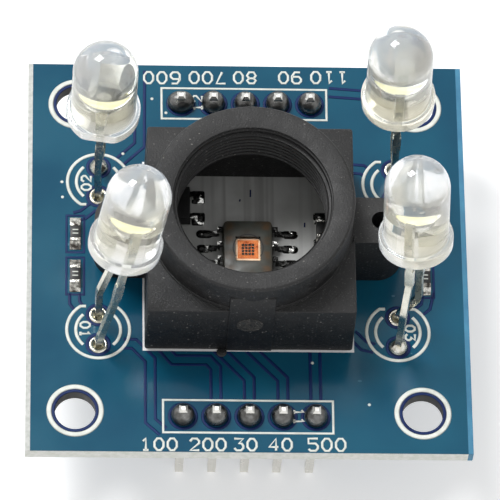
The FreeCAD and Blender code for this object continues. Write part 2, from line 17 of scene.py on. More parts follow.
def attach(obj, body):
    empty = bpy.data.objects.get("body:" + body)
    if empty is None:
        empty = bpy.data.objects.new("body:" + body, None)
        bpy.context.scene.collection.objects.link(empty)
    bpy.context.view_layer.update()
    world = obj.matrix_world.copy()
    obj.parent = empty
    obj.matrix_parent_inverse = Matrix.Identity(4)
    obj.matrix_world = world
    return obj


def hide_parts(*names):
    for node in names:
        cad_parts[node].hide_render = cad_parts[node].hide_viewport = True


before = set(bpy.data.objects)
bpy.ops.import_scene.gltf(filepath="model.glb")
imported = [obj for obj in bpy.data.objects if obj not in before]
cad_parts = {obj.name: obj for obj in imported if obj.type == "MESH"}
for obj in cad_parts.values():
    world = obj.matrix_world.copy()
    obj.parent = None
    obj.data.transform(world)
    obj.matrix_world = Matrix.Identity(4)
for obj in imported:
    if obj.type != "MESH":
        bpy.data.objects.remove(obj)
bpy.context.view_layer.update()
random.seed(7)
MM = 0.001
SAME_PLACE = 1e-7

# %% [markdown]
# ## Helpers for working by hand in code
#
# Blender's operators act on all that is selected, so each step first selects one piece, and
# in edit mode picks faces, edges or points by where they are. Sizes are written in
# millimetres and turned into metres as they are used.

# %% Select, pick and measure
def select_only(piece):
    """Leave edit mode, and make this piece the only one that is selected."""
    if bpy.context.object and bpy.context.object.mode != "OBJECT":
        bpy.ops.object.mode_set(mode="OBJECT")
    bpy.ops.object.select_all(action="DESELECT")
    piece.select_set(True)
    bpy.context.view_layer.objects.active = piece


def edit(piece):
    """Open this piece alone in edit mode."""
    select_only(piece)
    bpy.ops.object.mode_set(mode="EDIT")


def leave_edit():
    bpy.ops.object.mode_set(mode="OBJECT")


def middle(item):
    """The middle of a face, edge or point, in millimetres."""
    if isinstance(item, bmesh.types.BMVert):
        return item.co / MM
    corners = [corner.co for corner in item.verts]
    return sum(corners, Vector()) / len(corners) / MM


def pick(kind, wanted):
    """In edit mode, select the faces, edges or points that the test wants."""
    bpy.ops.mesh.select_mode(type=kind)
    bpy.ops.mesh.select_all(action="DESELECT")
    cage = bmesh.from_edit_mesh(bpy.context.object.data)
    items = {"VERT": cage.verts, "EDGE": cage.edges, "FACE": cage.faces}[kind]
    found = [item for item in items if wanted(item)]
    for item in found:
        item.select_set(True)
    cage.select_flush_mode()
    bmesh.update_edit_mesh(bpy.context.object.data)
    return len(found)


def select_all():
    """In edit mode, select the whole mesh."""
    bpy.ops.mesh.select_all(action="SELECT")


def move_points(piece, where, step):
    """Move the points whose place passes the test by a step in millimetres."""
    edit(piece)
    pick("VERT", lambda point: where(middle(point)))
    bpy.ops.transform.translate(value=[part * MM for part in step])
    leave_edit()


def squeeze_points(piece, where, share, centre=(0, 0, 0)):
    """Scale the points whose place passes the test about a centre."""
    edit(piece)
    pick("VERT", lambda point: where(middle(point)))
    bpy.ops.transform.resize(value=share, center_override=[part * MM for part in centre])
    leave_edit()


def divide(piece, spot, way):
    """Cut all faces along a plane without taking anything off."""
    edit(piece)
    select_all()
    bpy.ops.mesh.bisect(plane_co=[part * MM for part in spot], plane_no=way)
    leave_edit()


def round_edges(piece, width, steps=3, where=lambda spot: True, least=0.9):
    """Bevel the edges between faces that meet at a corner, where their middle passes the test."""
    edit(piece)
    pick("EDGE", lambda edge: len(edge.link_faces) == 2 and edge.calc_face_angle() > least
         and where(middle(edge)))
    bpy.ops.mesh.bevel(offset=width * MM, segments=steps, affect="EDGES", clamp_overlap=True)
    leave_edit()


# %% Add a block or a post, and work on it
def take(name):
    """Name the piece that was just added, and put its place into its mesh."""
    piece = bpy.context.object
    piece.name = name
    bpy.ops.object.transform_apply(location=True, rotation=True, scale=True)
    return piece


def add_block(name, low, high):
    """A cube primitive stretched between two corners."""
    centre = [(a + b) / 2 * MM for a, b in zip(low, high)]
    bpy.ops.mesh.primitive_cube_add(size=1, location=centre)
    bpy.context.object.scale = [(b - a) * MM for a, b in zip(low, high)]
    return take(name)


def add_post(name, x, y, radius, low, high, sides=64):
    """A round post that stands between two levels."""
    bpy.ops.mesh.primitive_cylinder_add(
        vertices=sides, radius=radius * MM, depth=(high - low) * MM,
        location=(x * MM, y * MM, (low + high) / 2 * MM))
    return take(name)


def join(pieces):
    """Join pieces into the first of them."""
    select_only(pieces[0])
    for piece in pieces[1:]:
        piece.select_set(True)
    bpy.ops.object.join()
    return bpy.context.object


def combine(piece, tool, operation="DIFFERENCE"):
    """Cut a tool out of a piece, or weld it on, and throw the tool away."""
    select_only(piece)
    step = piece.modifiers.new("combine", "BOOLEAN")
    step.operation = operation
    step.solver = "EXACT"
    step.object = tool
    bpy.ops.object.modifier_apply(modifier=step.name)
    bpy.data.objects.remove(tool)
    return piece


def duplicate(piece, name):
    """A copy of a piece with a mesh of its own."""
    copy = piece.copy()
    copy.data = piece.data.copy()
    copy.name = name
    bpy.context.scene.collection.objects.link(copy)
    return copy


def shift(piece, x=0, y=0, z=0):
    """Move a piece in its mesh."""
    piece.data.transform(Matrix.Translation((x * MM, y * MM, z * MM)))
    return piece


# %% Turn a profile on the lathe
def lathe(name, profile, steps=64):
    """Draw a line of (radius, height) points by extruding one point, and spin it round Z."""
    bpy.ops.mesh.primitive_plane_add(size=MM)
    piece = bpy.context.object
    piece.name = name
    bpy.ops.object.mode_set(mode="EDIT")
    bpy.ops.mesh.select_mode(type="VERT")
    select_all()
    bpy.ops.mesh.merge(type="CENTER")
    radius, height = profile[0]
    bpy.ops.transform.translate(value=(radius * MM, 0, height * MM))
    for before, after in zip(profile, profile[1:]):
        step = ((after[0] - before[0]) * MM, 0, (after[1] - before[1]) * MM)
        bpy.ops.mesh.extrude_region_move(TRANSFORM_OT_translate={"value": step})
    select_all()
    bpy.ops.mesh.remove_doubles(threshold=SAME_PLACE)
    bpy.ops.mesh.spin(steps=steps, angle=2 * math.pi, center=(0, 0, 0), axis=(0, 0, 1))
    select_all()
    bpy.ops.mesh.remove_doubles(threshold=SAME_PLACE)
    bpy.ops.mesh.normals_make_consistent(inside=False)
    leave_edit()
    return piece


def arc(centre, radius, start, end, steps):
    """Points on an arc, for a profile or a printed line. Angles are in degrees."""
    turns = [math.radians(start + (end - start) * step / steps) for step in range(steps + 1)]
    return [(centre[0] + radius * math.cos(t), centre[1] + radius * math.sin(t)) for t in turns]


def ring(x, y, radius, steps=64):
    return arc((x, y), radius, 0, 360, steps)


# %% Print a line of ink or copper
def draw_lines(name, routes, width, level, thick):
    """Low ridges along flat routes. A route that ends where it starts is closed."""
    curve = bpy.data.curves.new(name, "CURVE")
    curve.dimensions = "3D"
    curve.twist_mode = "Z_UP"
    curve.bevel_depth = width / 2 * MM
    curve.bevel_resolution = 1
    curve.use_fill_caps = True
    for route in routes:
        closed = (Vector(route[0]) - Vector(route[-1])).length < 1e-4
        points = route[:-1] if closed else route
        spline = curve.splines.new("POLY")
        spline.points.add(len(points) - 1)
        spline.use_cyclic_u = closed
        for point, (x, y) in zip(spline.points, points):
            point.co = (x * MM, y * MM, level * MM, 1)
    piece = bpy.data.objects.new(name, curve)
    bpy.context.scene.collection.objects.link(piece)
    select_only(piece)
    bpy.ops.object.convert(target="MESH")
    piece = bpy.context.object
    squeeze_points(piece, lambda spot: True, (1, 1, thick / width), (0, 0, level))
    edit(piece)
    select_all()
    bpy.ops.mesh.normals_make_consistent(inside=False)
    leave_edit()
    return piece


# %% Give a piece its name, finish and body
def finish_piece(piece, name, finish, slot, *stands_for, angle=0):
    """Apply the piece's place, dress it, let it ride on the module, and smooth its low bends."""
    select_only(piece)
    bpy.ops.object.transform_apply(location=True, rotation=True, scale=True)
    piece.name = name
    piece.data.name = name
    piece.data.materials.clear()
    piece.data.materials.append(finish)
    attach(piece, "root")
    if stands_for:
        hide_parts(*stands_for)
    if angle:
        bpy.ops.object.shade_smooth_by_angle(angle=math.radians(angle))
    print("piece", name, "faces", len(piece.data.polygons))
    return piece


def dress_nodes(finish, *starts):
    """Give the solids whose names start so a better finish, and leave their meshes alone."""
    for name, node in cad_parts.items():
        if name.startswith(starts):
            for place in node.material_slots:
                place.material = finish


# %% [markdown]
# ## Shared surface effects
#
# Moulded plastic, ink, solder and wire all need small change over their surface. Each effect
# is a node group that is built once: it reads the object's own coordinates in metres, so a
# scale is a number of features per metre, and it puts out only masks and heights.

# %% Node helpers
def srgb(red, green, blue):
    """A colour written as it looks on screen, from 0 to 255, turned into shader light."""
    def straight(value):
        value = value / 255
        return value / 12.92 if value <= 0.04045 else ((value + 0.055) / 1.055) ** 2.4
    return (straight(red), straight(green), straight(blue), 1)


def feed(tree, node, inputs):
    """Set a node's inputs to numbers or colours, or link them to other sockets."""
    for label, value in inputs.items():
        if isinstance(value, bpy.types.NodeSocket):
            tree.links.new(value, node.inputs[label])
        elif value is not None:
            node.inputs[label].default_value = value


def add_node(tree, kind, inputs=None, **settings):
    """Add a node with its settings and inputs, and give back its outputs."""
    node = tree.nodes.new(kind)
    for key, value in settings.items():
        setattr(node, key, value)
    feed(tree, node, inputs or {})
    return node.outputs


def stretched(tree, place, scale, turn=0):
    """The coordinates, turned about Z and stretched, which makes a round pattern long."""
    return add_node(tree, "ShaderNodeMapping", {
        "Vector": place, "Scale": scale, "Rotation": (0, 0, math.radians(turn))})["Vector"]


def noise(tree, place, scale, detail=3, rough=0.5):
    return add_node(tree, "ShaderNodeTexNoise", {
        "Vector": place, "Scale": scale, "Detail": detail, "Roughness": rough})["Fac"]


def ramp(tree, value, low, high, start=0.0, end=1.0):
    """Stretch the part of a value between low and high to start and end."""
    return add_node(tree, "ShaderNodeMapRange", {
        "Value": value, "From Min": low, "From Max": high, "To Min": start, "To Max": end},
        clamp=True)["Result"]


def calc(tree, operation, first, second=None):
    """One Math node over sockets or numbers."""
    return add_node(tree, "ShaderNodeMath", {0: first, 1: second}, operation=operation)[0]


def times(tree, first, second):
    return calc(tree, "MULTIPLY", first, second)


def mix_colours(tree, mask, first, second):
    """One colour where the mask is 0 and the other where it is 1."""
    return add_node(tree, "ShaderNodeMix", {0: mask, 6: first, 7: second}, data_type="RGBA")[2]


def read_place(tree):
    """The object's own coordinates, whole and as X, Y and Z."""
    place = add_node(tree, "ShaderNodeTexCoord")["Object"]
    return place, *add_node(tree, "ShaderNodeSeparateXYZ", {0: place})


def new_group(name, inputs, outputs):
    """A new node group. The result is the group, its inputs, its end node and the place."""
    group = bpy.data.node_groups.new(name, "ShaderNodeTree")
    for label, value in inputs.items():
        socket = group.interface.new_socket(label, in_out="INPUT", socket_type="NodeSocketFloat")
        socket.default_value = value
    for label in outputs:
        group.interface.new_socket(label, in_out="OUTPUT", socket_type="NodeSocketFloat")
    end = group.nodes.new("NodeGroupOutput")
    place = add_node(group, "ShaderNodeTexCoord")["Object"]
    return group, add_node(group, "NodeGroupInput"), end, place


# %% Moulded grain, dust, scratches and streaks
grain_group, start, end, place = new_group(
    "moulded_grain", {"Grain Scale": 15000, "Mottle Scale": 600}, ["Height", "Mottle"])
fine = noise(grain_group, place, start["Grain Scale"], detail=4, rough=0.6)
feed(grain_group, end, {"Height": fine, "Mottle": noise(grain_group, place, start["Mottle Scale"])})

dust_group, start, end, place = new_group(
    "dust_and_lint", {"Scale": 900, "Share": 0.1, "Reach": 0.16}, ["Mask"])
bent = stretched(dust_group, place, (1, 1.6, 1), 35)
cells = add_node(dust_group, "ShaderNodeTexVoronoi", {"Vector": bent, "Scale": start["Scale"]})
parts = add_node(dust_group, "ShaderNodeSeparateColor", {"Color": cells["Color"]})
size_here = times(dust_group, parts[1], start["Reach"])
spot = calc(dust_group, "LESS_THAN", cells["Distance"], size_here)
chosen = calc(dust_group, "LESS_THAN", parts[0], start["Share"])
feed(dust_group, end, {"Mask": times(dust_group, spot, chosen)})

scratch_group, start, end, place = new_group("hair_scratches", {"Scale": 500, "Share": 0.3}, ["Mask"])
lines = []
for turn in (14, -31):
    lane = stretched(scratch_group, place, (1, 0.02, 1), turn)
    wavy = noise(scratch_group, lane, start["Scale"], detail=1)
    off = calc(scratch_group, "ABSOLUTE", calc(scratch_group, "SUBTRACT", wavy, 0.5))
    lines.append(ramp(scratch_group, off, 0.003, 0.0))
both = calc(scratch_group, "MAXIMUM", *lines)
patches = noise(scratch_group, place, 110, detail=1)
open_here = calc(scratch_group, "LESS_THAN", patches, start["Share"])
feed(scratch_group, end, {"Mask": times(scratch_group, both, open_here)})

streak_group, start, end, place = new_group("drawn_streaks", {"Scale": 4000}, ["Streak"])
long_place = stretched(streak_group, place, (1, 1, 0.06))
feed(streak_group, end, {"Streak": noise(streak_group, long_place, start["Scale"])})
print("node groups:", [group.name for group in bpy.data.node_groups])

# %% [markdown]
# ## Finishes
#
# Most finishes here share one recipe: two close colours mixed by a mottle, a roughness that
# changes a little, a fine bump, and where the real surface has them some dust or hair scratches.
# Where asked, small painted glints are added: bright patches that stand in for highlights. One
# function builds that recipe, with the numbers of each material. Numbers that are the same all
# over the surface are set on the shader itself.

# %% The shared recipe
def use_group(tree, group, **values):
    values = {label.replace("_", " "): value for label, value in values.items()}
    return add_node(tree, "ShaderNodeGroup", values, node_tree=group)


def new_finish(name):
    material = bpy.data.materials.new(name)
    material.use_nodes = True
    return material, material.node_tree, material.node_tree.nodes["Principled BSDF"]


def colour_so_far(material):
    """The tree and shader of a material, and the colour that now goes into the shader."""
    tree = material.node_tree
    shader = tree.nodes["Principled BSDF"]
    return tree, shader, shader.inputs["Base Color"].links[0].from_socket


def finish_shader(tree, shader, shade, roughness, height, strength, depth):
    """Feed the colour, the roughness and a bump into the shader."""
    bump = add_node(tree, "ShaderNodeBump", {
        "Height": height, "Strength": strength, "Distance": depth * MM})
    feed(tree, shader, {"Base Color": shade, "Roughness": roughness, "Normal": bump["Normal"]})


def paler(colour, share, lift):
    """A colour for the shader, a share lighter and lifted a little."""
    return tuple(min(1.0, value * share + lift) for value in srgb(*colour)[:3]) + (1,)


def make_finish(name, colour, other, rough, grain=9000, mottle=2200, bump=0.3, depth=0.01,
                metal=0.0, gloss=0.5, fleck=0.0, dust=0.0, dust_colour=(170, 170, 168),
                dust_scale=900, scratch=0.0, streak=0.0, painted_glint=False):
    """A finish of two close colours with grain, and flecks, dust, scratches or painted glints if asked.
    """
    material, tree, shader = new_finish(name)
    surface = use_group(tree, grain_group, Grain_Scale=grain, Mottle_Scale=mottle)
    patch = ramp(tree, surface["Mottle"], 0.35, 0.65)
    if streak:
        lines = use_group(tree, streak_group, Scale=streak)["Streak"]
        patch = times(tree, patch, ramp(tree, lines, 0.3, 0.7))
    shade = mix_colours(tree, patch, srgb(*colour), srgb(*other))
    roughness = ramp(tree, surface["Mottle"], 0.3, 0.7, *rough)
    height = surface["Height"]
    # Painted glints: small patches of bright metal that stand in for highlights.
    if painted_glint:
        painted_bright = ramp(tree, surface["Mottle"], 0.56, 0.6)
        shade = mix_colours(tree, painted_bright, shade, srgb(244, 244, 240))
    if fleck:
        pits = use_group(tree, dust_group, Scale=5200, Share=fleck, Reach=0.42)["Mask"]
        shade = mix_colours(tree, pits, shade, paler(other, 2.6, 0.035))
        height = calc(tree, "ADD", height, times(tree, pits, 0.5))
    if scratch:
        hairs = use_group(tree, scratch_group, Share=scratch)["Mask"]
        shade = mix_colours(tree, times(tree, hairs, 0.3), shade, paler(other, 2.2, 0.05))
        height = calc(tree, "SUBTRACT", height, times(tree, hairs, 0.15))
    if dust:
        specks = use_group(tree, dust_group, Scale=dust_scale, Share=dust)["Mask"]
        shade = mix_colours(tree, times(tree, specks, 0.6), shade, srgb(*dust_colour))
        roughness = calc(tree, "MAXIMUM", roughness, times(tree, specks, 0.8))
    feed(tree, shader, {"Metallic": metal, "Specular IOR Level": gloss})
    finish_shader(tree, shader, shade, roughness, height, bump, depth)
    return material


# %% Board, ink, copper lines and laminate
mask_finish = make_finish(
    "blue_board_mask", (4, 76, 104), (10, 86, 112), (0.12, 0.2), grain=2500, mottle=160, bump=0.12,
    depth=0.02, gloss=0.3, dust=0.04, dust_colour=(90, 140, 160))
ink_finish = make_finish(
    "white_board_ink", (236, 239, 232), (222, 226, 218), (0.5, 0.7), mottle=1500, bump=0.25)
gap_finish = make_finish(
    "copper_gap_lines", (6, 32, 84), (10, 42, 94), (0.3, 0.45), grain=4000, mottle=700, bump=0.1,
    gloss=0.2)
laminate_finish = make_finish(
    "glass_cloth_laminate", (246, 246, 241), (230, 233, 224), (0.6, 0.8), grain=7000, mottle=2600,
    bump=0.4, depth=0.03)
# A darker copy of the laminate for the left strip's top: painted shade that makes up for the soft lamp.
strip_top_shade_finish = make_finish(
    "laminate_strip_top_painted_darker", (216, 217, 214), (196, 199, 194), (0.6, 0.8), grain=7000, mottle=2600,
    bump=0.4, depth=0.03)
pale_edge_finish = make_finish(
    "pale_blue_edge", (52, 120, 156), (60, 134, 168), (0.3, 0.5), grain=5000, mottle=800, bump=0.2,
    depth=0.02)
# The hole walls are painted dark as the shade inside the holes.
hole_shade_finish = make_finish(
    "hole_wall_painted_shade", (30, 31, 32), (58, 58, 56), (0.5, 0.75), grain=6000, bump=0.4, depth=0.03)

# %% Plastics
holder_finish = make_finish(
    "black_holder_plastic", (9, 9, 10), (14, 14, 15), (0.44, 0.58), grain=7500, mottle=900,
    bump=0.8, depth=0.05, gloss=0.45, fleck=0.5, dust=0.8, dust_colour=(150, 148, 144),
    dust_scale=1900, scratch=0.3)
gate_finish = make_finish(
    "torn_gate_plastic", (8, 8, 9), (60, 58, 55), (0.5, 0.7), grain=5200, mottle=2400, bump=1.0,
    depth=0.16, fleck=0.4)
header_finish = make_finish(
    "black_header_plastic", (22, 22, 23), (30, 30, 31), (0.35, 0.5), mottle=900, bump=0.25)
chip_finish = make_finish(
    "chip_plastic", (17, 17, 18), (26, 26, 26), (0.4, 0.55), grain=14000, mottle=2500, bump=0.4)

# %% Metals
lead_finish = make_finish(
    "tinned_steel_leads", (208, 208, 198), (168, 166, 152), (0.16, 0.32), mottle=1200, bump=0.15,
    depth=0.008, metal=1.0, streak=2200)
cup_finish = make_finish(
    "silvered_cup", (226, 226, 222), (206, 206, 202), (0.2, 0.34), bump=0.1, depth=0.008, metal=1.0)
solder_finish = make_finish(
    "solder", (122, 122, 121), (80, 79, 77), (0.24, 0.44), grain=2600, mottle=1700, bump=0.7,
    depth=0.08, metal=1.0)
# Solder of the sensor's and the transistor's pads and legs, darkened as painted shade of the holder, with
# painted glints.
shaded_solder_finish = make_finish(
    "painted_shade_pad_solder", (50, 50, 49), (12, 12, 12), (0.14, 0.3), grain=2200, mottle=1900, bump=0.8,
    depth=0.2, metal=1.0, painted_glint=True)
bright_solder_finish = make_finish(
    "bright_solder", (222, 220, 212), (180, 174, 156), (0.12, 0.3), grain=3600, mottle=2600,
    bump=0.6, depth=0.05, metal=1.0)
cap_finish = make_finish(
    "crumpled_cap_solder", (240, 238, 230), (62, 58, 54), (0.14, 0.3), grain=2600, mottle=1900,
    bump=0.9, depth=0.12, metal=1.0)
steel_finish = make_finish(
    "zinc_screw_steel", (176, 176, 180), (150, 150, 154), (0.26, 0.42), bump=0.25, metal=1.0)
print("finishes:", len(bpy.data.materials))

# %% [markdown]
# ## Finishes that need their own recipe
#
# Clear resin is a shader with most of its transmission on. A real lamp lets light through,
# and a path tracer without caustics would give it a black shadow, so a Light Path node lets
# shadow rays pass a thin tint instead. The lamps' resin carries painted light: a warm tint near
# the yellow filling paints the filling seen through the resin, bluish patches in the dome paint
# the board seen through it, and a greyer tint where its skin turns away from the eye paints a
# reflection. The sensor's package shows brown stains of its metal frame beside each leg. The
# wide ink square is painted darker inside the holder as its shade, the header pins are painted
# lighter below the board against its shadow, and the chip with its grid of small eyes takes its
# colours from its place.

# %% Clear resin, the yellow filling and the clear package
def make_clear(name, colour, other, rough, scale, bump, tint, clear=1.0, index=1.5):
    """Clear resin whose shadow is light."""
    material, tree, shader = new_finish(name)
    surface = use_group(tree, grain_group, Grain_Scale=scale * 3, Mottle_Scale=scale)
    patch = ramp(tree, surface["Mottle"], 0.4, 0.7)
    shade = mix_colours(tree, patch, srgb(*colour), srgb(*other))
    roughness = ramp(tree, surface["Mottle"], 0.3, 0.7, *rough)
    feed(tree, shader, {"Transmission Weight": clear, "IOR": index})
    finish_shader(tree, shader, shade, roughness, surface["Mottle"], bump, 0.05)
    shadow_ray = add_node(tree, "ShaderNodeLightPath")["Is Shadow Ray"]
    open_light = add_node(tree, "ShaderNodeBsdfTransparent", {"Color": tint})[0]
    choice = add_node(tree, "ShaderNodeMixShader", {0: shadow_ray, 1: shader.outputs[0], 2: open_light})
    feed(tree, tree.nodes["Material Output"], {"Surface": choice[0]})
    return material


resin_finish = make_clear(
    "clear_lamp_resin", (255, 255, 253), (240, 244, 249), (0.0, 0.05), 420, 0.07,
    (0.86, 0.87, 0.88, 1), clear=0.77)
FILLING_LOW = 13.0 * MM
FILLING_HIGH = 15.5 * MM
DOME_LOW = 16.5 * MM
DOME_HIGH = 19.0 * MM
# Painted light in the resin: a warm tint near the filling paints the filling seen through it, bluish
# patches in the dome paint the board seen through it, and a greyer tint where the skin turns away from
# the eye paints a reflection.
tree, shader, shade = colour_so_far(resin_finish)
place, x, y, z = read_place(tree)
painted_filling_tint = times(tree, ramp(tree, z, FILLING_LOW, FILLING_HIGH), ramp(tree, z, DOME_HIGH, DOME_LOW))
painted_refraction_patches = ramp(tree, noise(tree, place, 520, detail=1), 0.5, 0.68)
painted_refraction_patches = times(tree, painted_refraction_patches, ramp(tree, z, DOME_LOW, DOME_HIGH))
shade = mix_colours(tree, painted_filling_tint, shade, srgb(255, 249, 228))
shade = mix_colours(tree, painted_refraction_patches, shade, srgb(222, 228, 236))
facing = add_node(tree, "ShaderNodeLayerWeight", {"Blend": 0.5})["Facing"]
shade = mix_colours(tree, ramp(tree, facing, 0.55, 0.95), shade, srgb(188, 198, 212))
feed(tree, shader, {"Base Color": shade})
window_finish = make_clear(
    "clear_sensor_window", (246, 246, 240), (232, 230, 218), (0.1, 0.2), 900, 0.12,
    (0.8, 0.8, 0.76, 1), index=1.12)
package_finish = make_finish(
    "stained_sensor_package", (72, 76, 70), (64, 58, 47), (0.3, 0.46), mottle=1150, depth=0.02)
LEG_PITCH = 1.27
tree, shader, shade = colour_so_far(package_finish)
place, x, y, z = read_place(tree)
wave = calc(tree, "FRACT", calc(tree, "DIVIDE", y, LEG_PITCH * MM))
near_leg = ramp(tree, calc(tree, "ABSOLUTE", calc(tree, "SUBTRACT", wave, 0.5)), 0.36, 0.2)
sideways = calc(tree, "ABSOLUTE", x)
inner_edge = ramp(tree, sideways, 0.95 * MM, 1.3 * MM)
outer_edge = ramp(tree, sideways, 1.85 * MM, 1.6 * MM)
stain = times(tree, near_leg, times(tree, inner_edge, outer_edge))
stain = times(tree, stain, ramp(tree, noise(tree, place, 1500), 0.35, 0.6, 0.2, 0.8))
shade = mix_colours(tree, stain, shade, srgb(94, 68, 40))
feed(tree, shader, {"Base Color": shade})
phosphor_finish = make_finish(
    "pale_yellow_phosphor", (240, 234, 176), (246, 243, 206), (0.5, 0.7), mottle=1800, depth=0.02)

# %% The wide ink square: white outside, and painted darker inside the holder as its shade, with faint streaks
pad_finish = make_finish(
    "wide_ink_square", (196, 197, 194), (212, 213, 211), (0.5, 0.7), grain=6000, mottle=500, depth=0.02)
tree, shader, shade = colour_so_far(pad_finish)
place, x, y, z = read_place(tree)
# Inside the holder the ink is painted darker, as the holder's shade.
far = calc(tree, "MAXIMUM", calc(tree, "ABSOLUTE", x), calc(tree, "ABSOLUTE", y))
outside_painted_shade = ramp(tree, far, 7.2 * MM, 7.8 * MM)
streaks = ramp(tree, noise(tree, stretched(tree, place, (1, 0.02, 1)), 1300, detail=2), 0.32, 0.45)
shade = mix_colours(tree, streaks, srgb(178, 178, 176), shade)
feed(tree, shader, {"Base Color": mix_colours(tree, outside_painted_shade, shade, srgb(250, 250, 250))})

# %% Header pins: a little duller above the board, and painted lighter below it against the board's shadow
pin_finish = make_finish(
    "tinned_pins", (206, 205, 200), (226, 224, 219), (0.24, 0.4), grain=12000, mottle=1800,
    bump=0.15, metal=1.0)
tree, shader, shade = colour_so_far(pin_finish)
place, x, y, z = read_place(tree)
lines = use_group(tree, streak_group, Scale=2500)["Streak"]
# Below the board the pins take a lighter colour, painted light against the board's shadow.
painted_bright = mix_colours(tree, ramp(tree, lines, 0.3, 0.7), srgb(216, 214, 206), srgb(234, 232, 226))
low = ramp(tree, z, 1.6 * MM, 0.9 * MM)
feed(tree, shader, {"Base Color": mix_colours(tree, low, shade, painted_bright)})

# %% The orange chip: four rows of four dark eyes inside a thin pale edge
chip_eye_finish = make_finish(
    "light_sensor_chip", (196, 92, 34), (224, 126, 62), (0.25, 0.4), grain=16000, mottle=2600,
    bump=0.15, metal=0.3)
EYE_PITCH = 0.255 * MM
tree, shader, shade = colour_so_far(chip_eye_finish)
place, x, y, z = read_place(tree)
bars = []
reach = []
for axis in (x, y):
    wave = calc(tree, "FRACT", calc(tree, "ADD", calc(tree, "DIVIDE", axis, EYE_PITCH), 40.0))
    off = calc(tree, "ABSOLUTE", calc(tree, "SUBTRACT", wave, 0.5))
    bars.append(calc(tree, "LESS_THAN", off, 0.41))
    reach.append(calc(tree, "ABSOLUTE", axis))
far = calc(tree, "MAXIMUM", *reach)
eyes = times(tree, times(tree, *bars), calc(tree, "LESS_THAN", far, 2 * EYE_PITCH))
shade = mix_colours(tree, eyes, shade, srgb(22, 12, 10))
rim = calc(tree, "GREATER_THAN", far, 0.8 * MM)
feed(tree, shader, {"Base Color": mix_colours(tree, rim, shade, srgb(240, 204, 182))})
paddle_finish = make_finish(
    "stained_copper_paddle", (96, 84, 62), (66, 54, 40), (0.3, 0.5), mottle=1400, depth=0.02,
    metal=0.6)

# %% [markdown]
# ## The board
#
# The real board is a laminate of glass cloth with a blue mask over its copper. Its left edge
# was scored and snapped, so a bare pale strip shows there; the right edge is a lighter blue
# line. A cube at the board's size gives the plate. Its rim is bevelled, two bisect cuts mark
# the strips, and posts are cut out for all the holes. Then each face gets its finish by its
# place: top, strips, sides and hole walls. The hole walls are painted dark as the shade in the
# holes, and the strip's top takes a darker copy of the laminate, painted shade against the
# soft lamp.

# %% Plate, strips and holes
LEFT, RIGHT, FRONT, REAR, TOP = -17.1, 17.1, -16.7, 16.9, 1.2
RIM_WIDTH = 0.3
LEFT_STRIP = 0.38
RIGHT_STRIP = 0.4
MOUNT_HOLE = 1.6
PIN_HOLE = 0.51
LEAD_HOLE = 0.45
SCREW_HOLE = 1.05
SCREW_X = 10
HEADER_ROWS = {"front": -13.70, "rear": 13.46}
PIN_X = [-5.08, -2.54, 0.0, 2.54, 5.08]
MOUNTS = [(x, y) for x in (-13.3, 13.3) for y in (-13.3, 13.3)]
LAMP_PADS = {
    "front_left": (-11.55, -6.42), "rear_left": (-11.55, 6.42),
    "front_right": (11.55, -6.42), "rear_right": (11.55, 6.42)}
PAD_SHIFT = 1.27

board = add_block("board", (LEFT, FRONT, 0), (RIGHT, REAR, TOP))
round_edges(board, 0.05, 2)
for strip in (LEFT + LEFT_STRIP, RIGHT - RIGHT_STRIP):
    divide(board, (strip, 0, 0), (1, 0, 0))

holes = [(x, y, MOUNT_HOLE, 96) for x, y in MOUNTS]
holes += [(x, y, PIN_HOLE, 24) for y in HEADER_ROWS.values() for x in PIN_X]
holes += [(x, y + end * PAD_SHIFT, LEAD_HOLE, 32) for x, y in LAMP_PADS.values() for end in (-1, 1)]
holes += [(x, 0, SCREW_HOLE, 32) for x in (-SCREW_X, SCREW_X)]
drills = [add_post("drill", x, y, radius, -1, 2, sides) for x, y, radius, sides in holes]
combine(board, join(drills))
print("board faces", len(board.data.polygons))

# %% Finish each face by its place
def board_face(face):
    """Which finish a face takes: 0 mask, 1 laminate, 2 pale edge, 3 hole wall painted dark as shade, 4
    strip top in a darker copy of the laminate, painted shade.
    """
    spot = middle(face)
    inside = LEFT + RIM_WIDTH < spot.x < RIGHT - RIM_WIDTH
    inside = inside and FRONT + RIM_WIDTH < spot.y < REAR - RIM_WIDTH
    if abs(face.normal.z) < 0.7 and inside:
        return 3
    if spot.x < LEFT + LEFT_STRIP - 0.01:
        return 4 if face.normal.z > 0.5 else 1
    if spot.x > RIGHT - RIGHT_STRIP + 0.01:
        return 2
    if spot.y < FRONT + 0.06 and face.normal.z < 0.9:
        return 1
    if spot.y > REAR - 0.06 and abs(face.normal.z) < 0.9:
        return 2
    return 0


finish_piece(board, "board_plate", mask_finish, "board", "circuit_board", angle=20)
for finish in (laminate_finish, pale_edge_finish, hole_shade_finish, strip_top_shade_finish):
    board.data.materials.append(finish)
edit(board)
for place_number in (1, 2, 3, 4):
    found = pick("FACE", lambda face: board_face(face) == place_number)
    board.active_material_index = place_number
    bpy.ops.object.material_slot_assign()
    print("faces for finish", place_number, ":", found)
leave_edit()

# %% [markdown]
# ## Copper lines and white ink
#
# Under the mask each copper track is set off by a dark gap on both sides, so a track shows as
# a pair of thin dark lines with 45 degree bends. The ink on top is thicker and white. Both
# are drawn as curves with a flat round section, made into meshes and pressed flat. The words
# on a real board are left out here, and plain numbers made of single strokes take their
# place. A wide square of ink lies under the lens holder: a thin block with a few dark ticks.

# %% Pairs of dark lines for the tracks
def beside(route, gap):
    """The route moved sideways by a gap, with its corners kept on the mitre line."""
    points = [Vector(point) for point in route]
    moved = []
    for index, point in enumerate(points):
        before = points[max(index - 1, 0)]
        after = points[min(index + 1, len(points) - 1)]
        ways = [way.normalized() for way in (point - before, after - point) if way.length > 0]
        sides = [Vector((-way.y, way.x)) for way in ways]
        side = sum(sides, Vector((0, 0))).normalized()
        moved.append(tuple(point + side * gap / max(side.dot(sides[0]), 0.3)))
    return moved


def box_route(x, y, width, depth):
    left, right, front, rear = x - width / 2, x + width / 2, y - depth / 2, y + depth / 2
    return [(left, front), (right, front), (right, rear), (left, rear), (left, front)]


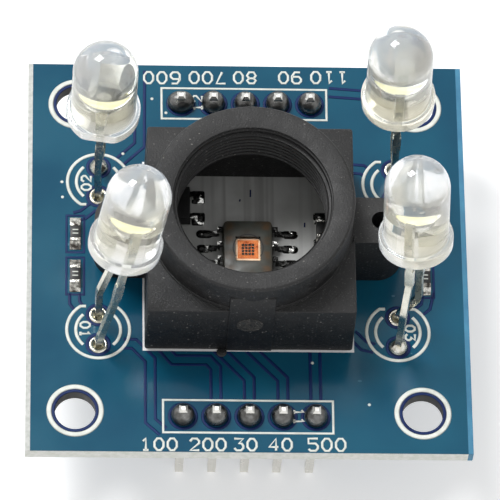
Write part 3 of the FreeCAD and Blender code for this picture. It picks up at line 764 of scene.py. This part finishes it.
LINE_WIDTH = 0.26
TRACK_HALF = 0.38
LAMP_PAD_GAP = 0.86
PIN_PAD_GAP = 1.03
MOUNT_GAP = 1.68
RESISTORS = {
    "front_left": (-13.34, -1.825), "rear_left": (-13.34, 1.825),
    "front_right": (13.76, -1.825), "rear_right": (13.76, 1.825)}
TRACKS = [
    [(5.11, -8.0), (5.11, -12.3)],
    [(0.0, -7.8), (2.59, -10.5), (2.59, -12.3)],
    [(-2.4, -7.9), (0.02, -10.5), (0.02, -12.3)],
    [(-6.6, -7.9), (-5.75, -8.95), (-3.1, -8.95), (-2.54, -9.6), (-2.54, -12.3)],
    [(-9.6, -7.6), (-8.8, -7.6), (-7.56, -8.95), (-7.56, -14.1), (-6.6, -15.0)],
    [(-8.3, 16.4), (-8.34, 9.72), (-9.87, 8.24)],
    [(14.06, -2.9), (13.75, -4.2), (13.1, -4.75)],
    [(-13.38, -3.3), (-13.38, -4.1), (-13.1, -4.5)],
    [(8.0, -6.6), (8.9, -7.6), (9.7, -7.8)],
    [(8.3, 7.8), (9.1, 7.75), (9.5, 7.45)],
    [(6.6, 14.6), (9.4, 14.4), (11.0, 13.2)],
    [(-13.4, 3.3), (-12.75, 3.5), (-11.98, 4.2)],
]
gap_routes = [beside(route, gap) for route in TRACKS for gap in (-TRACK_HALF, TRACK_HALF)]
for x, y in LAMP_PADS.values():
    gap_routes += [ring(x, y + end * PAD_SHIFT, LAMP_PAD_GAP, 32) for end in (-1, 1)]
for y in HEADER_ROWS.values():
    gap_routes += [ring(x, y, PIN_PAD_GAP, 32) for x in PIN_X]
gap_routes += [ring(x, y, MOUNT_GAP) for x, y in MOUNTS]
gap_routes += [box_route(x, y, 1.36, 3.2) for x, y in RESISTORS.values()]
tracks = draw_lines("tracks", gap_routes, LINE_WIDTH, TOP, 0.012)
finish_piece(tracks, "board_track_gaps", gap_finish, "board")

# %% Rings and boxes of white ink
INK_THICK = 0.05
LAMP_RING = 2.42
INNER_RING = 1.72
MOUNT_RING = 2.0


def flat_ring(x, y, radius, flat, side, gap):
    """An open ring with one flat side, which stops short of the pad on that side."""
    half = math.degrees(math.acos(flat / radius))
    turn = 90 * side
    round_part = arc((x, y), radius, turn + half, turn + 360 - half, 48)
    ends = [(x - side * gap, y + side * flat), (x + side * gap, y + side * flat)]
    return [ends[0]] + round_part + [ends[1]]


ink_routes = []
for side, (x, y) in LAMP_PADS.items():
    flat_side = -1 if side == "rear_left" else 1
    ink_routes.append(flat_ring(x, y, LAMP_RING, 2.0, flat_side, 0.95))
    ink_routes += [arc((x, y), INNER_RING, start, start + 96, 20) for start in (132, -48)]
for y in HEADER_ROWS.values():
    ink_routes.append(box_route(-0.09, y, 13.0, 2.72))
ink = draw_lines("ink", ink_routes, LINE_WIDTH, TOP, INK_THICK)
mount_ink = draw_lines("mount_ink", [ring(x, y, MOUNT_RING) for x, y in MOUNTS], 0.4, TOP, INK_THICK)
finish_piece(join([ink, mount_ink]), "board_ink_lines", ink_finish, "board")

SQUARE_TOP = 1.222
pad_ink = add_block("pad_ink", (-8.14, -8.18, 1.18), (8.14, 8.22, SQUARE_TOP))
round_edges(pad_ink, 0.015, 2, lambda spot: spot.z > SQUARE_TOP - 0.001)
finish_piece(pad_ink, "board_ink_square", pad_finish, "board")

# %% Dark ticks in the square
ticks = draw_lines("ticks", [[(0.3, 5.2), (0.32, 5.85)], [(4.5, 2.6), (4.52, 3.0)],
                             [(-0.55, 4.8), (-0.5, 5.0)]], 0.12, SQUARE_TOP + 0.002, 0.02)
finish_piece(ticks, "board_ink_ticks", gap_finish, "board")

# %% Numbers made of single strokes
DIGIT_PITCH = 1.03
DIGIT_WIDTH = 0.7
STROKES = {
    "0": [[(0, 0.3), (0, 0.7), (0.3, 1), (0.7, 1), (1, 0.7), (1, 0.3), (0.7, 0), (0.3, 0), (0, 0.3)]],
    "1": [[(0.2, 0.75), (0.5, 1), (0.5, 0)], [(0.2, 0), (0.8, 0)]],
    "2": [[(0, 0.75), (0.25, 1), (0.75, 1), (1, 0.8), (1, 0.6), (0, 0), (1, 0)]],
    "3": [[(0, 1), (1, 1), (0.5, 0.6), (0.8, 0.6), (1, 0.4), (1, 0.2), (0.75, 0), (0.25, 0), (0, 0.2)]],
    "4": [[(0.75, 0), (0.75, 1), (0, 0.3), (1, 0.3)]],
    "5": [[(1, 1), (0, 1), (0, 0.6), (0.75, 0.6), (1, 0.4), (1, 0.2), (0.75, 0), (0.2, 0), (0, 0.15)]],
    "6": [[(0.9, 1), (0.3, 1), (0, 0.65), (0, 0.2), (0.25, 0), (0.75, 0), (1, 0.2), (1, 0.4),
           (0.75, 0.6), (0, 0.6)]],
    "7": [[(0, 1), (1, 1), (0.35, 0)]],
    "8": [[(0.25, 0.55), (0, 0.75), (0.25, 1), (0.75, 1), (1, 0.75), (0.75, 0.55), (0.25, 0.55)],
          [(0.25, 0.55), (0, 0.3), (0.25, 0), (0.75, 0), (1, 0.3), (0.75, 0.55)]],
    "9": [[(1, 0.4), (0.25, 0.4), (0, 0.6), (0, 0.8), (0.25, 1), (0.75, 1), (1, 0.8), (1, 0.35),
           (0.7, 0), (0.1, 0)]],
}


def number_routes(text, x, y, height, turn):
    """The strokes of a number, centred on a spot and turned by whole degrees."""
    routes = []
    spin = Matrix.Rotation(math.radians(turn), 2)
    total = (len(text) - 1) * DIGIT_PITCH + DIGIT_WIDTH
    for index, digit in enumerate(text):
        left = index * DIGIT_PITCH - total / 2
        for stroke in STROKES[digit]:
            spots = [Vector((left + across * DIGIT_WIDTH, up - 0.5)) for across, up in stroke]
            routes.append([tuple(Vector((x, y)) + spin @ (spot * height)) for spot in spots])
    return routes


LABELS = [
    ("100", -6.91, -16.07, 0.98, 0), ("200", -3.19, -16.06, 0.98, 0), ("30", -0.33, -16.04, 0.98, 0),
    ("40", 2.34, -16.02, 1.0, 0), ("500", 5.89, -16.0, 1.02, 0),
    ("600", -6.55, 15.75, 1.02, 180), ("700", -2.95, 15.8, 1.02, 180), ("80", 0.01, 15.84, 1.0, 180),
    ("90", 3.58, 15.88, 1.0, 180), ("110", 6.67, 15.93, 1.02, 180),
    ("01", -12.55, -6.4, 0.72, -90), ("02", -12.5, 6.3, 0.72, 90), ("03", 12.5, -6.45, 0.72, -90),
    ("04", 12.5, 6.4, 0.72, 90), ("11", 3.8, -13.66, 0.75, -90), ("12", -3.78, 13.5, 0.75, 90),
]
digits = [route for label in LABELS for route in number_routes(*label)]
numbers = draw_lines("numbers", digits, 0.2, TOP, INK_THICK)
finish_piece(numbers, "board_numbers", ink_finish, "board")

# %% Small plated through dots
vias = []
for x, y in ((-14.4, 6.38), (-9.64, 8.92), (-7.35, 13.85), (-6.25, 12.61), (-14.35, 5.05),
             (9.2, -12.6), (4.9, -9.1)):
    via = lathe("via", [(0, 1.19), (0.11, 1.19), (0.12, 1.205), (0.08, 1.225), (0, 1.23)], 14)
    vias.append(shift(via, x, y))
finish_piece(join(vias), "board_vias", ink_finish, "board")

# %% [markdown]
# ## The lens holder
#
# The holder is one moulding of black plastic: a square drafted base that is hollow below, a
# round barrel with a screw thread inside, two ears with a bore for a screw, and a rib down
# the front that still shows the round mark of the moulding gate. The base starts as a cube,
# the barrel is a profile on the lathe, and the ears are posts welded to blocks. The profile
# holds the grooves of the thread, a ledge and two grooves in the wider entry above it, and a
# sloped lower edge that opens into the chamber. At the end the rings of the barrel are tilted
# one by one, a little more the higher they lie, so that the rim slopes down to the front.

# %% Base with its chamber
BASE_SIDE = 16
BASE_TOP_SIDE = 15.866
BASE_TOP = 7.6
CHAMBER_SIDE = 14
CHAMBER_TOP = 6.2
BARREL_TOP = 11.4

half = BASE_SIDE / 2
hollow = CHAMBER_SIDE / 2
draft = BASE_TOP_SIDE / BASE_SIDE


def at_top(spot):
    return spot.z > BASE_TOP - 0.01


base = add_block("base", (-half, -half, TOP), (half, half, BASE_TOP))
squeeze_points(base, at_top, (draft, draft, 1))
round_edges(base, 0.22, 4, lambda spot: 2 < spot.z < 7)
round_edges(base, 0.1, 3, at_top)
combine(base, add_block("chamber", (-hollow, -hollow, 0), (hollow, hollow, CHAMBER_TOP)))
combine(base, add_post("bore", 0, 0, 6.6, 5, 9, 96))

# %% Barrel with its thread
THREAD_MINOR = 5.73
THREAD_MAJOR = 6.0
THREAD_PITCH = 0.5
THREAD_START = 7.36
THREAD_TURNS = 6
ENTRY = 6.08
ENTRY_FOOT = 10.3
ENTRY_SHIFT = -0.18
BARREL_RADIUS = 7.8
PLUG_RADIUS = 6.7
RIM_SLOPE = 0.5
SLOPE_START = BASE_TOP + 0.3
SLOPE_HEIGHT = 2.6

profile = [(6.35, CHAMBER_TOP), (THREAD_MINOR, 7.15)]
for turn in range(THREAD_TURNS):
    level = THREAD_START + turn * THREAD_PITCH
    profile += [(THREAD_MINOR, level), (THREAD_MAJOR, level + 0.14), (THREAD_MAJOR, level + 0.22),
                (THREAD_MINOR, level + 0.36)]
profile += [(THREAD_MINOR, 10.25), (5.78, 10.5), (5.8, 10.57), (5.98, 10.59), (6.12, 10.66), (6.12, 10.8),
            (5.96, 10.86), (6.02, 11.05), (6.16, 11.1), (6.16, 11.2), (ENTRY, 11.26), (ENTRY, 11.32),
            (ENTRY + 0.04, 11.38), (ENTRY + 0.1, BARREL_TOP)]
profile += arc((7.55, BARREL_TOP - 0.25), 0.25, 90, 0, 6)
profile += [(BARREL_RADIUS, 7.95), (BARREL_RADIUS, 7.72), (7.84, 7.68), (7.89, 7.68), (7.93, 7.63),
            (7.94, 7.58), (BARREL_RADIUS, 7.45), (PLUG_RADIUS, 7.4), (PLUG_RADIUS, CHAMBER_TOP),
            (6.35, CHAMBER_TOP)]
barrel = lathe("barrel", profile, 128)
move_points(barrel, lambda spot: spot.z > ENTRY_FOOT and spot.to_2d().length < ENTRY + 0.2,
            (0, ENTRY_SHIFT, 0))
edit(barrel)
for level in sorted({height for radius, height in profile if height > SLOPE_START}):
    rise = min((level - SLOPE_START) / SLOPE_HEIGHT, 1)
    pick("VERT", lambda point: abs(middle(point).z - level) < 0.001)
    tilt = math.asin(RIM_SLOPE * rise / (2 * BARREL_RADIUS))
    bpy.ops.transform.rotate(value=-tilt, orient_axis="X",
                             center_override=(0, BARREL_RADIUS * MM, level * MM))
leave_edit()
print("rim height at the back and the front:", [
    round(max(point.co.z for point in barrel.data.vertices if point.co.y * side > 7 * MM) / MM, 2)
    for side in (1, -1)])

# %% Ears with their bores
EAR_RADIUS = 1.95
EAR_BORE = 0.75
ears = []
for side in (-1, 1):
    ear = add_post("ear", side * SCREW_X, 0, EAR_RADIUS, TOP, BASE_TOP, 64)
    near, far = sorted((side * 7.3, side * SCREW_X))
    bridge = add_block("bridge", (near, -EAR_RADIUS, TOP), (far, EAR_RADIUS, BASE_TOP))
    combine(ear, bridge, "UNION")
    round_edges(ear, 0.15, 3, lambda spot: at_top(spot) and abs(spot.x) > 7.5)
    combine(ear, add_post("ear_bore", side * SCREW_X, 0, EAR_BORE, 0, 9, 48))
    ears.append(ear)

# %% Rib with the gate mark and a trace of flash
RIB_FACE = -8.12
RIB_TOP = 9.4
rib = add_block("rib", (-1.75, RIB_FACE, TOP), (1.75, -7.2, RIB_TOP))
divide(rib, (0, 0, 6.6), (0, 0, 1))
move_points(rib, lambda spot: spot.z > RIB_TOP - 0.1 and spot.y < -8, (0, 0.36, 0))
round_edges(rib, 0.07, 2, lambda spot: spot.y < -7.7, least=0.5)
gate = lathe("gate", [(0, 0.3), (1.02, 0.3), (1.02, -0.02), (0.95, -0.05), (0.88, -0.02),
                      (0.36, -0.02), (0.3, -0.06), (0, -0.07)], 48)
gate.data.transform(Matrix.Rotation(math.radians(-90), 4, "X"))
shift(gate, -0.1, RIB_FACE, 5.7)
nib = lathe("nib", [(0, 0), (0.36, 0.02), (0.4, 0.1), (0.3, 0.2), (0, 0.25)], 16)
shift(nib, -2.08, -8.3, TOP)
finish_piece(join([base, barrel, *ears, rib, nib]), "lens_holder_moulding", holder_finish,
             "holder_plastic", "lens_holder", angle=28)
finish_piece(gate, "lens_holder_gate_mark", gate_finish, "holder_plastic")

# %% [markdown]
# ## The lamps
#
# Each lamp is a clear moulding: a rim with one flat side, a straight shank and a dome. One
# profile on the lathe gives the form, and squeezing the rim's points onto a plane gives the
# flat. The small silver cup inside and the yellow filling that it holds are lathe pieces too.
# Each copy is then leaned and turned to its own pose. The leads and their posts stay as the
# measured solids, because their shapes are right.

# %% Clear body, cup and filling, copied to four poses
LAMP_POSES = {
    "front_left": {"foot": (-9.8, -4.6, 11.7), "lean": (9.0, 11.0), "turn": 10.0, "flat": 1},
    "rear_left": {"foot": (-11.42, 6.55, 12.2), "lean": (0.6, 1.0), "turn": -8.0, "flat": -1},
    "front_right": {"foot": (12.11, -4.45, 12.7), "lean": (-2.8, 14.2), "turn": -21.0, "flat": 1},
    "rear_right": {"foot": (10.98, 7.1, 13.7), "lean": (-2.1, 2.7), "turn": 0.0, "flat": 1},
}
SHANK = 2.475
RIM = 2.825
FLAT = 2.52
DOME_START = 6.115

profile = [(0, 0)]
profile += arc((RIM - 0.12, 0.12), 0.12, -90, 0, 4)
profile += arc((RIM - 0.12, 0.88), 0.12, 0, 90, 4)
profile += [(SHANK + 0.08, 1.0), (SHANK + 0.02, 1.04), (SHANK, 1.12), (SHANK, DOME_START)]
profile += arc((0, DOME_START), SHANK, 4, 90, 24)
lens = lathe("lamp_lens", profile, 96)


def lamp_matrix(pose):
    """Where a lamp stands: turned about its own axis, leaned, and moved to its foot."""
    lean_x, lean_y = (math.tan(math.radians(angle)) for angle in pose["lean"])
    lean = Vector((0, 0, 1)).rotation_difference(Vector((lean_x, lean_y, 1))).to_matrix().to_4x4()
    turn = Matrix.Rotation(math.radians(pose["turn"]), 4, "Z")
    return Matrix.Translation(Vector(pose["foot"]) * MM) @ lean @ turn


CUP_SEAT = 2.8
CUP_RIM = 3.65
cup = lathe("cup", [(0, CUP_SEAT - 0.03), (0.54, CUP_SEAT - 0.03), (0.6, CUP_SEAT),
                    (0.94, CUP_RIM - 0.03), (0.94, CUP_RIM + 0.01), (0.82, CUP_RIM + 0.01),
                    (0.72, CUP_RIM - 0.2), (0, CUP_RIM - 0.2)], 48)
filling = lathe("filling", [(0, CUP_RIM - 0.19), (0.7, CUP_RIM - 0.19), (0.79, CUP_RIM),
                            (0.8, CUP_RIM + 0.02), (0.6, CUP_RIM + 0.07), (0.3, CUP_RIM + 0.1),
                            (0, CUP_RIM + 0.11)], 48)
LAMP_PARTS = [
    (lens, "_body", resin_finish, "clear_resin", ["_lens"]),
    (cup, "_cup", cup_finish, "lead_metal", []),
    (filling, "_filling", phosphor_finish, "phosphor", ["_phosphor"])]

for name, pose in LAMP_POSES.items():
    for pattern, part, finish, slot, ends in LAMP_PARTS:
        copy = duplicate(pattern, "lamp_" + name)
        if pattern == lens:
            side = pose["flat"]
            squeeze_points(copy, lambda spot: spot.y * side > FLAT, (1, 0, 1), (0, side * FLAT, 0))
        copy.data.transform(lamp_matrix(pose))
        nodes = ["led_" + name + end for end in ends]
        finish_piece(copy, "lamp_" + name + part, finish, slot, *nodes, angle=35)
for pattern in (lens, cup, filling):
    bpy.data.objects.remove(pattern)

# %% [markdown]
# ## Solder
#
# Solder wets a pad and a lead, and sets with a smooth curved skin. At the headers it stands
# as round beads with the square pin coming through. At the lamps the plated holes show as
# bright rings with a hollow round the lead, and two of them are filled up to a dome. Each
# kind is one profile on the lathe, and the header beads are stretched a little at random.

# %% Header beads
bead = lathe("bead", [(0, 1.15), (0.86, 1.19), (0.93, 1.26), (0.95, 1.45), (0.93, 1.68), (0.84, 1.92),
                      (0.68, 2.12), (0.5, 2.25), (0.36, 2.33), (0.2, 2.36), (0, 2.36)], 40)
for row, y in HEADER_ROWS.items():
    beads = []
    for x in PIN_X:
        copy = duplicate(bead, "bead")
        wide = random.uniform(0.92, 1.0)
        if (row, x) == ("rear", PIN_X[0]):
            wide = 1.14
        copy.data.transform(Matrix.Diagonal((wide, random.uniform(0.9, 1.0), 1, 1)))
        beads.append(shift(copy, x, y))
    finish_piece(join(beads), "header_" + row + "_beads", solder_finish, "solder",
                 "header_" + row + "_solder", angle=60)
bpy.data.objects.remove(bead)

# %% Rings, domes and feet at the lamp leads
ring_profile = [(0, 0.9), (0.2, 0.93), (0.36, 1.02), (0.45, 1.16), (0.5, 1.25), (0.58, 1.285),
                (0.67, 1.27), (0.72, 1.22), (0.73, 1.19), (0.45, 1.17), (0.45, 0.6), (0, 0.6)]
dome_profile = [(0, 0.9), (0.44, 0.9), (0.44, 1.17), (0.74, 1.19), (0.75, 1.24), (0.7, 1.4),
                (0.58, 1.6), (0.42, 1.78), (0.3, 1.9), (0, 1.95)]
foot_profile = [(0, 0.2), (0.44, 0.2), (0.44, 0.0), (0.74, -0.01), (0.76, -0.05), (0.62, -0.22),
                (0.46, -0.45), (0.36, -0.7), (0.33, -0.85), (0, -0.9)]
DOMES = [("front_right", -1), ("rear_left", 1)]
for name, (x, y) in LAMP_PADS.items():
    parts = []
    for end in (-1, 1):
        profile = dome_profile if (name, end) in DOMES else ring_profile
        parts.append(shift(lathe("top", profile, 40), x, y + end * PAD_SHIFT))
        parts.append(shift(lathe("foot", foot_profile, 32), x, y + end * PAD_SHIFT))
    finish_piece(join(parts), "lamp_" + name + "_solder", bright_solder_finish, "solder",
                 "led_" + name + "_solder", angle=50)

# %% [markdown]
# ## Chip parts
#
# The small resistors and the capacitor are blocks with a metal cap at each end and a wedge
# of solder on the board. The block and the caps start as cubes, their edges are bevelled,
# and the solder is a rounded block whose outer end is pulled down to the pad.

# %% A chip part with caps and solder
def make_chip_part(name, x, y, height, stands_for, slot):
    """One chip part lying along Y: the body as one piece, and the caps with their solder as another."""
    half = 0.8
    width = 0.4
    inner = half - 0.26
    block = add_block("block", (x - width, y - inner, TOP + 0.04), (x + width, y + inner, TOP + height))
    round_edges(block, 0.03, 2)
    finish_piece(block, name + "_body", chip_finish, slot, stands_for, angle=30)
    pieces = []
    for end in (-1, 1):
        inner, outer = sorted((y + end * (half - 0.3), y + end * half))
        cap = add_block("cap", (x - width - 0.03, inner, TOP + 0.01),
                        (x + width + 0.03, outer, TOP + 0.03 + height))
        round_edges(cap, 0.06, 3)
        inner, outer = sorted((y + end * (half - 0.12), y + end * 1.4))
        wedge = add_block("wedge", (x - 0.44, inner, TOP - 0.01), (x + 0.44, outer, TOP + height * 0.8))
        move_points(wedge, lambda spot: abs(spot.y - y) > 1.3 and spot.z > TOP + 0.1,
                    (0, 0, 0.08 - height * 0.8))
        round_edges(wedge, 0.07, 3, least=0.3)
        pieces += [cap, wedge]
    finish_piece(join(pieces), name + "_ends", cap_finish, "solder", angle=50)


RESISTOR_HEIGHT = 0.45
CAPACITOR_HEIGHT = 0.8
for side, (x, y) in RESISTORS.items():
    name = "resistor_" + side
    make_chip_part(name + "_chip", x, y, RESISTOR_HEIGHT, name, "resistor_ceramic")
make_chip_part("capacitor_chip", 5.8, 2.2, CAPACITOR_HEIGHT, "capacitor", "capacitor_ceramic")

# %% Two light bars on each resistor
bars = [[(x - 0.22, y + step), (x + 0.22, y + step)]
        for x, y in RESISTORS.values() for step in (-0.16, 0.16)]
marks = draw_lines("marks", bars, 0.1, TOP + RESISTOR_HEIGHT + 0.002, 0.02)
finish_piece(marks, "resistor_bars", ink_finish, "resistor_ceramic")

# %% [markdown]
# ## The sensor
#
# In the middle sits a clear package with a small orange chip on a dark paddle. Its eight
# legs run to pads with glossy drops of solder. Inside the holder the solder and the legs are
# painted dark as the holder's shade, with small painted glints. The package is a block with
# drafted sides and rounded corners. A square well over the chip holds a clear window, and a
# thin round line shows where the mould closed. The drops are half spheres, cut flat and
# stretched. The small transistor's and the capacitor's pads are rounded blocks whose top
# slopes to the front.

# %% Clear package, window and mould line
PACKAGE_FOOT = 1.32
PACKAGE_TOP = 2.72

package = add_block("package", (-1.95, -2.45, PACKAGE_FOOT), (1.95, 2.45, PACKAGE_TOP))
divide(package, (0, 0, 2), (0, 0, 1))
for level, share in ((PACKAGE_TOP, 0.95), (PACKAGE_FOOT, 0.97)):
    squeeze_points(package, lambda spot: abs(spot.z - level) < 0.01, (share, share, 1))
round_edges(package, 0.28, 4, lambda spot: PACKAGE_FOOT + 0.1 < spot.z < PACKAGE_TOP - 0.1)
round_edges(package, 0.06, 2)
combine(package, add_block("well", (-0.97, -1.09, 2.1), (0.97, 0.99, 3)))
finish_piece(package, "sensor_package_block", package_finish, "clear_resin", "sensor_package", angle=30)
mould_ring = draw_lines("mould_ring", [arc((0, 0), 1.17, -38, 218, 48)], 0.08, PACKAGE_TOP, 0.015)
finish_piece(mould_ring, "sensor_mould_ring", chip_finish, "clear_resin")
window = add_block("window", (-0.96, -1.08, 2.41), (0.96, 0.98, 2.705))
round_edges(window, 0.02, 2, lambda spot: spot.z > 2.7)
finish_piece(window, "sensor_window", window_finish, "clear_resin", angle=30)

# %% Solder drops on the sensor's pads and the transistor's
def solder_drop(x, y, length, width, height):
    """Half a sphere, cut flat and pulled long along X."""
    bpy.ops.mesh.primitive_uv_sphere_add(segments=24, ring_count=12, radius=MM)
    drop = bpy.context.object
    edit(drop)
    select_all()
    bpy.ops.mesh.bisect(plane_co=(0, 0, -0.1 * MM), plane_no=(0, 0, -1), use_fill=True, clear_outer=True)
    leave_edit()
    for end in (1, -1):
        move_points(drop, lambda spot: spot.x * end > 0.05, (end * (length / width - 1), 0, 0))
    drop.data.transform(Matrix.Diagonal((width / 2, width / 2, height, 1)))
    return shift(drop, x, y, TOP)


PAD_TOP = 1.42
drops = []
for side in (-1, 1):
    for row in (-1.5, -0.5, 0.5, 1.5):
        drops.append(solder_drop(side * 3.3, row * LEG_PITCH, 1.35, 0.72, 0.24))
for x, y, width, depth in ((-3.78, 5.1, 1.05, 1.1), (-3.78, 3.2, 1.05, 1.1), (-6.3, 4.15, 1.05, 1.1),
                           (5.8, 3.35, 1.25, 1.0), (5.8, 1.05, 1.25, 1.0)):
    pad = add_block("pad", (x - width / 2, y - depth / 2, TOP - 0.01),
                    (x + width / 2, y + depth / 2, PAD_TOP))
    round_edges(pad, 0.16, 4, lambda spot: spot.z > TOP)
    squeeze_points(pad, lambda spot: spot.z > PAD_TOP - 0.02, (0.7, 0.6, 1), (x, y, 0))
    move_points(pad, lambda spot: spot.z > PAD_TOP - 0.02 and spot.y > y, (0, 0, 0.16))
    drops.append(pad)
# The drops take the solder painted dark as the holder's shade, with painted glints.
finish_piece(join(drops), "sensor_pad_solder", shaded_solder_finish, "solder", angle=50)

# %% [markdown]
# ## Screws under the board
#
# Two self tapping screws hold the ears from below. A pan head is a short profile on the
# lathe, and its cross slot is cut by two thin blocks.

# %% Pan heads with a cross slot
SCREW_HEAD = [(0, 0.0), (1.72, 0.0), (1.8, -0.08), (1.8, -0.45), (1.7, -0.8), (1.45, -1.1),
              (1.05, -1.26), (0.5, -1.3), (0, -1.3)]
for side, name in ((-1, "left"), (1, "right")):
    head = lathe("head", SCREW_HEAD, 48)
    combine(head, add_block("slot", (-0.9, -0.17, -2), (0.9, 0.17, -0.7)))
    combine(head, add_block("slot", (-0.17, -0.9, -2), (0.17, 0.9, -0.7)))
    shank = lathe("shank", [(0, -0.1), (0.73, -0.1), (0.73, 5.2), (0.5, 5.4), (0, 5.4)], 32)
    screw = shift(join([head, shank]), side * SCREW_X)
    finish_piece(screw, "screw_" + name, steel_finish, "screw_steel", "holder_screw_" + name, angle=30)

# %% [markdown]
# ## Solids that keep their shape
#
# Pins, strips, the lamps' leads, legs, the chip and its paddle are already right as solids, so
# they only get their finishes.

# %% Dress the solids
dress_nodes(pin_finish, "header_front_pin", "header_rear_pin")
dress_nodes(header_finish, "header_front_strip", "header_rear_strip")
# The legs take the same solder, painted dark as shade, with painted glints.
dress_nodes(shaded_solder_finish, "sensor_leg", "transistor_leg")
dress_nodes(chip_eye_finish, "sensor_die")
dress_nodes(paddle_finish, "sensor_paddle")
dress_nodes(chip_finish, "transistor_package")
for name in LAMP_POSES:
    dress_nodes(lead_finish, "led_" + name + "_anode", "led_" + name + "_cathode")
print("dressed", sum(1 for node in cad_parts.values() if not node.hide_render), "solids")

# %% [markdown]
# ## Floor, light and camera
#
# The module lies on a plain white floor. Camera rays and the rays that glass and metal send
# out see that floor and the room as plain white, while the light that falls on the module
# stays at a level where a colour looks as it is written. One soft lamp stands high behind
# and to the left, so the holder's shadow falls to the front and the right. A weak and wide
# one fills the front.

# %% White floor and room
FLOOR = -8.54


def seen_directly(tree):
    """1 for rays from the camera, and for those that mirror or pass through glass."""
    path = add_node(tree, "ShaderNodeLightPath")
    first = calc(tree, "MAXIMUM", path["Is Camera Ray"], path["Is Glossy Ray"])
    return calc(tree, "MAXIMUM", first, path["Is Transmission Ray"])


bpy.ops.mesh.primitive_plane_add(size=3, location=(0, 0, (FLOOR - 0.01) * MM))
floor = bpy.context.object
floor.name = "floor"
floor_material, tree, shader = new_finish("white_floor")
floor_noise = noise(tree, read_place(tree)[0], 60)
feed(tree, shader, {
    "Base Color": mix_colours(tree, floor_noise, srgb(236, 236, 236), srgb(242, 242, 242)),
    "Roughness": 0.9, "Emission Color": (1, 1, 1, 1),
    "Emission Strength": times(tree, seen_directly(tree), 0.42)})
floor.data.materials.append(floor_material)

world = bpy.data.worlds.new("studio")
bpy.context.scene.world = world
world.use_nodes = True
tree = world.node_tree
brightness = ramp(tree, seen_directly(tree), 0, 1, 0.45, 1.0)
feed(tree, tree.nodes["Background"], {"Color": (1, 1, 1, 1), "Strength": brightness})

# %% Soft lamps
def add_lamp(name, way, distance, size, power):
    """A square area light that looks at the module."""
    light = bpy.data.lights.new(name, "AREA")
    light.size = size
    light.energy = power
    lamp = bpy.data.objects.new(name, light)
    bpy.context.scene.collection.objects.link(lamp)
    direction = Vector(way).normalized()
    lamp.location = direction * distance
    lamp.rotation_euler = direction.to_track_quat("Z", "Y").to_euler()
    return lamp


add_lamp("soft_box", (-0.42, 0.5, 1), 0.7, 0.26, 3.8)
add_lamp("front_fill", (0.3, -1.0, 0.9), 0.9, 0.5, 0.4)

# %% Camera at the photograph's angle
CAMERA_RIGHT = Vector((0.9988, -0.0123, 0.0468))
CAMERA_UP = Vector((-0.0102, 0.8918, 0.4523))
CAMERA_BACK = Vector((-0.0473, -0.4523, 0.8906))
LOOK_AT = Vector((0.221, 0.596, 1.2))
DISTANCE = 385.9

lens_data = bpy.data.cameras.new("camera")
lens_data.lens = 357.8
lens_data.sensor_width = 36
lens_data.clip_start = 0.01
camera = bpy.data.objects.new("camera", lens_data)
bpy.context.scene.collection.objects.link(camera)
camera_frame = Matrix((CAMERA_RIGHT, CAMERA_UP, CAMERA_BACK)).transposed().to_4x4()
camera.matrix_world = Matrix.Translation((LOOK_AT + CAMERA_BACK * DISTANCE) * MM) @ camera_frame
bpy.context.scene.camera = camera
bpy.context.scene.view_settings.view_transform = "Standard"
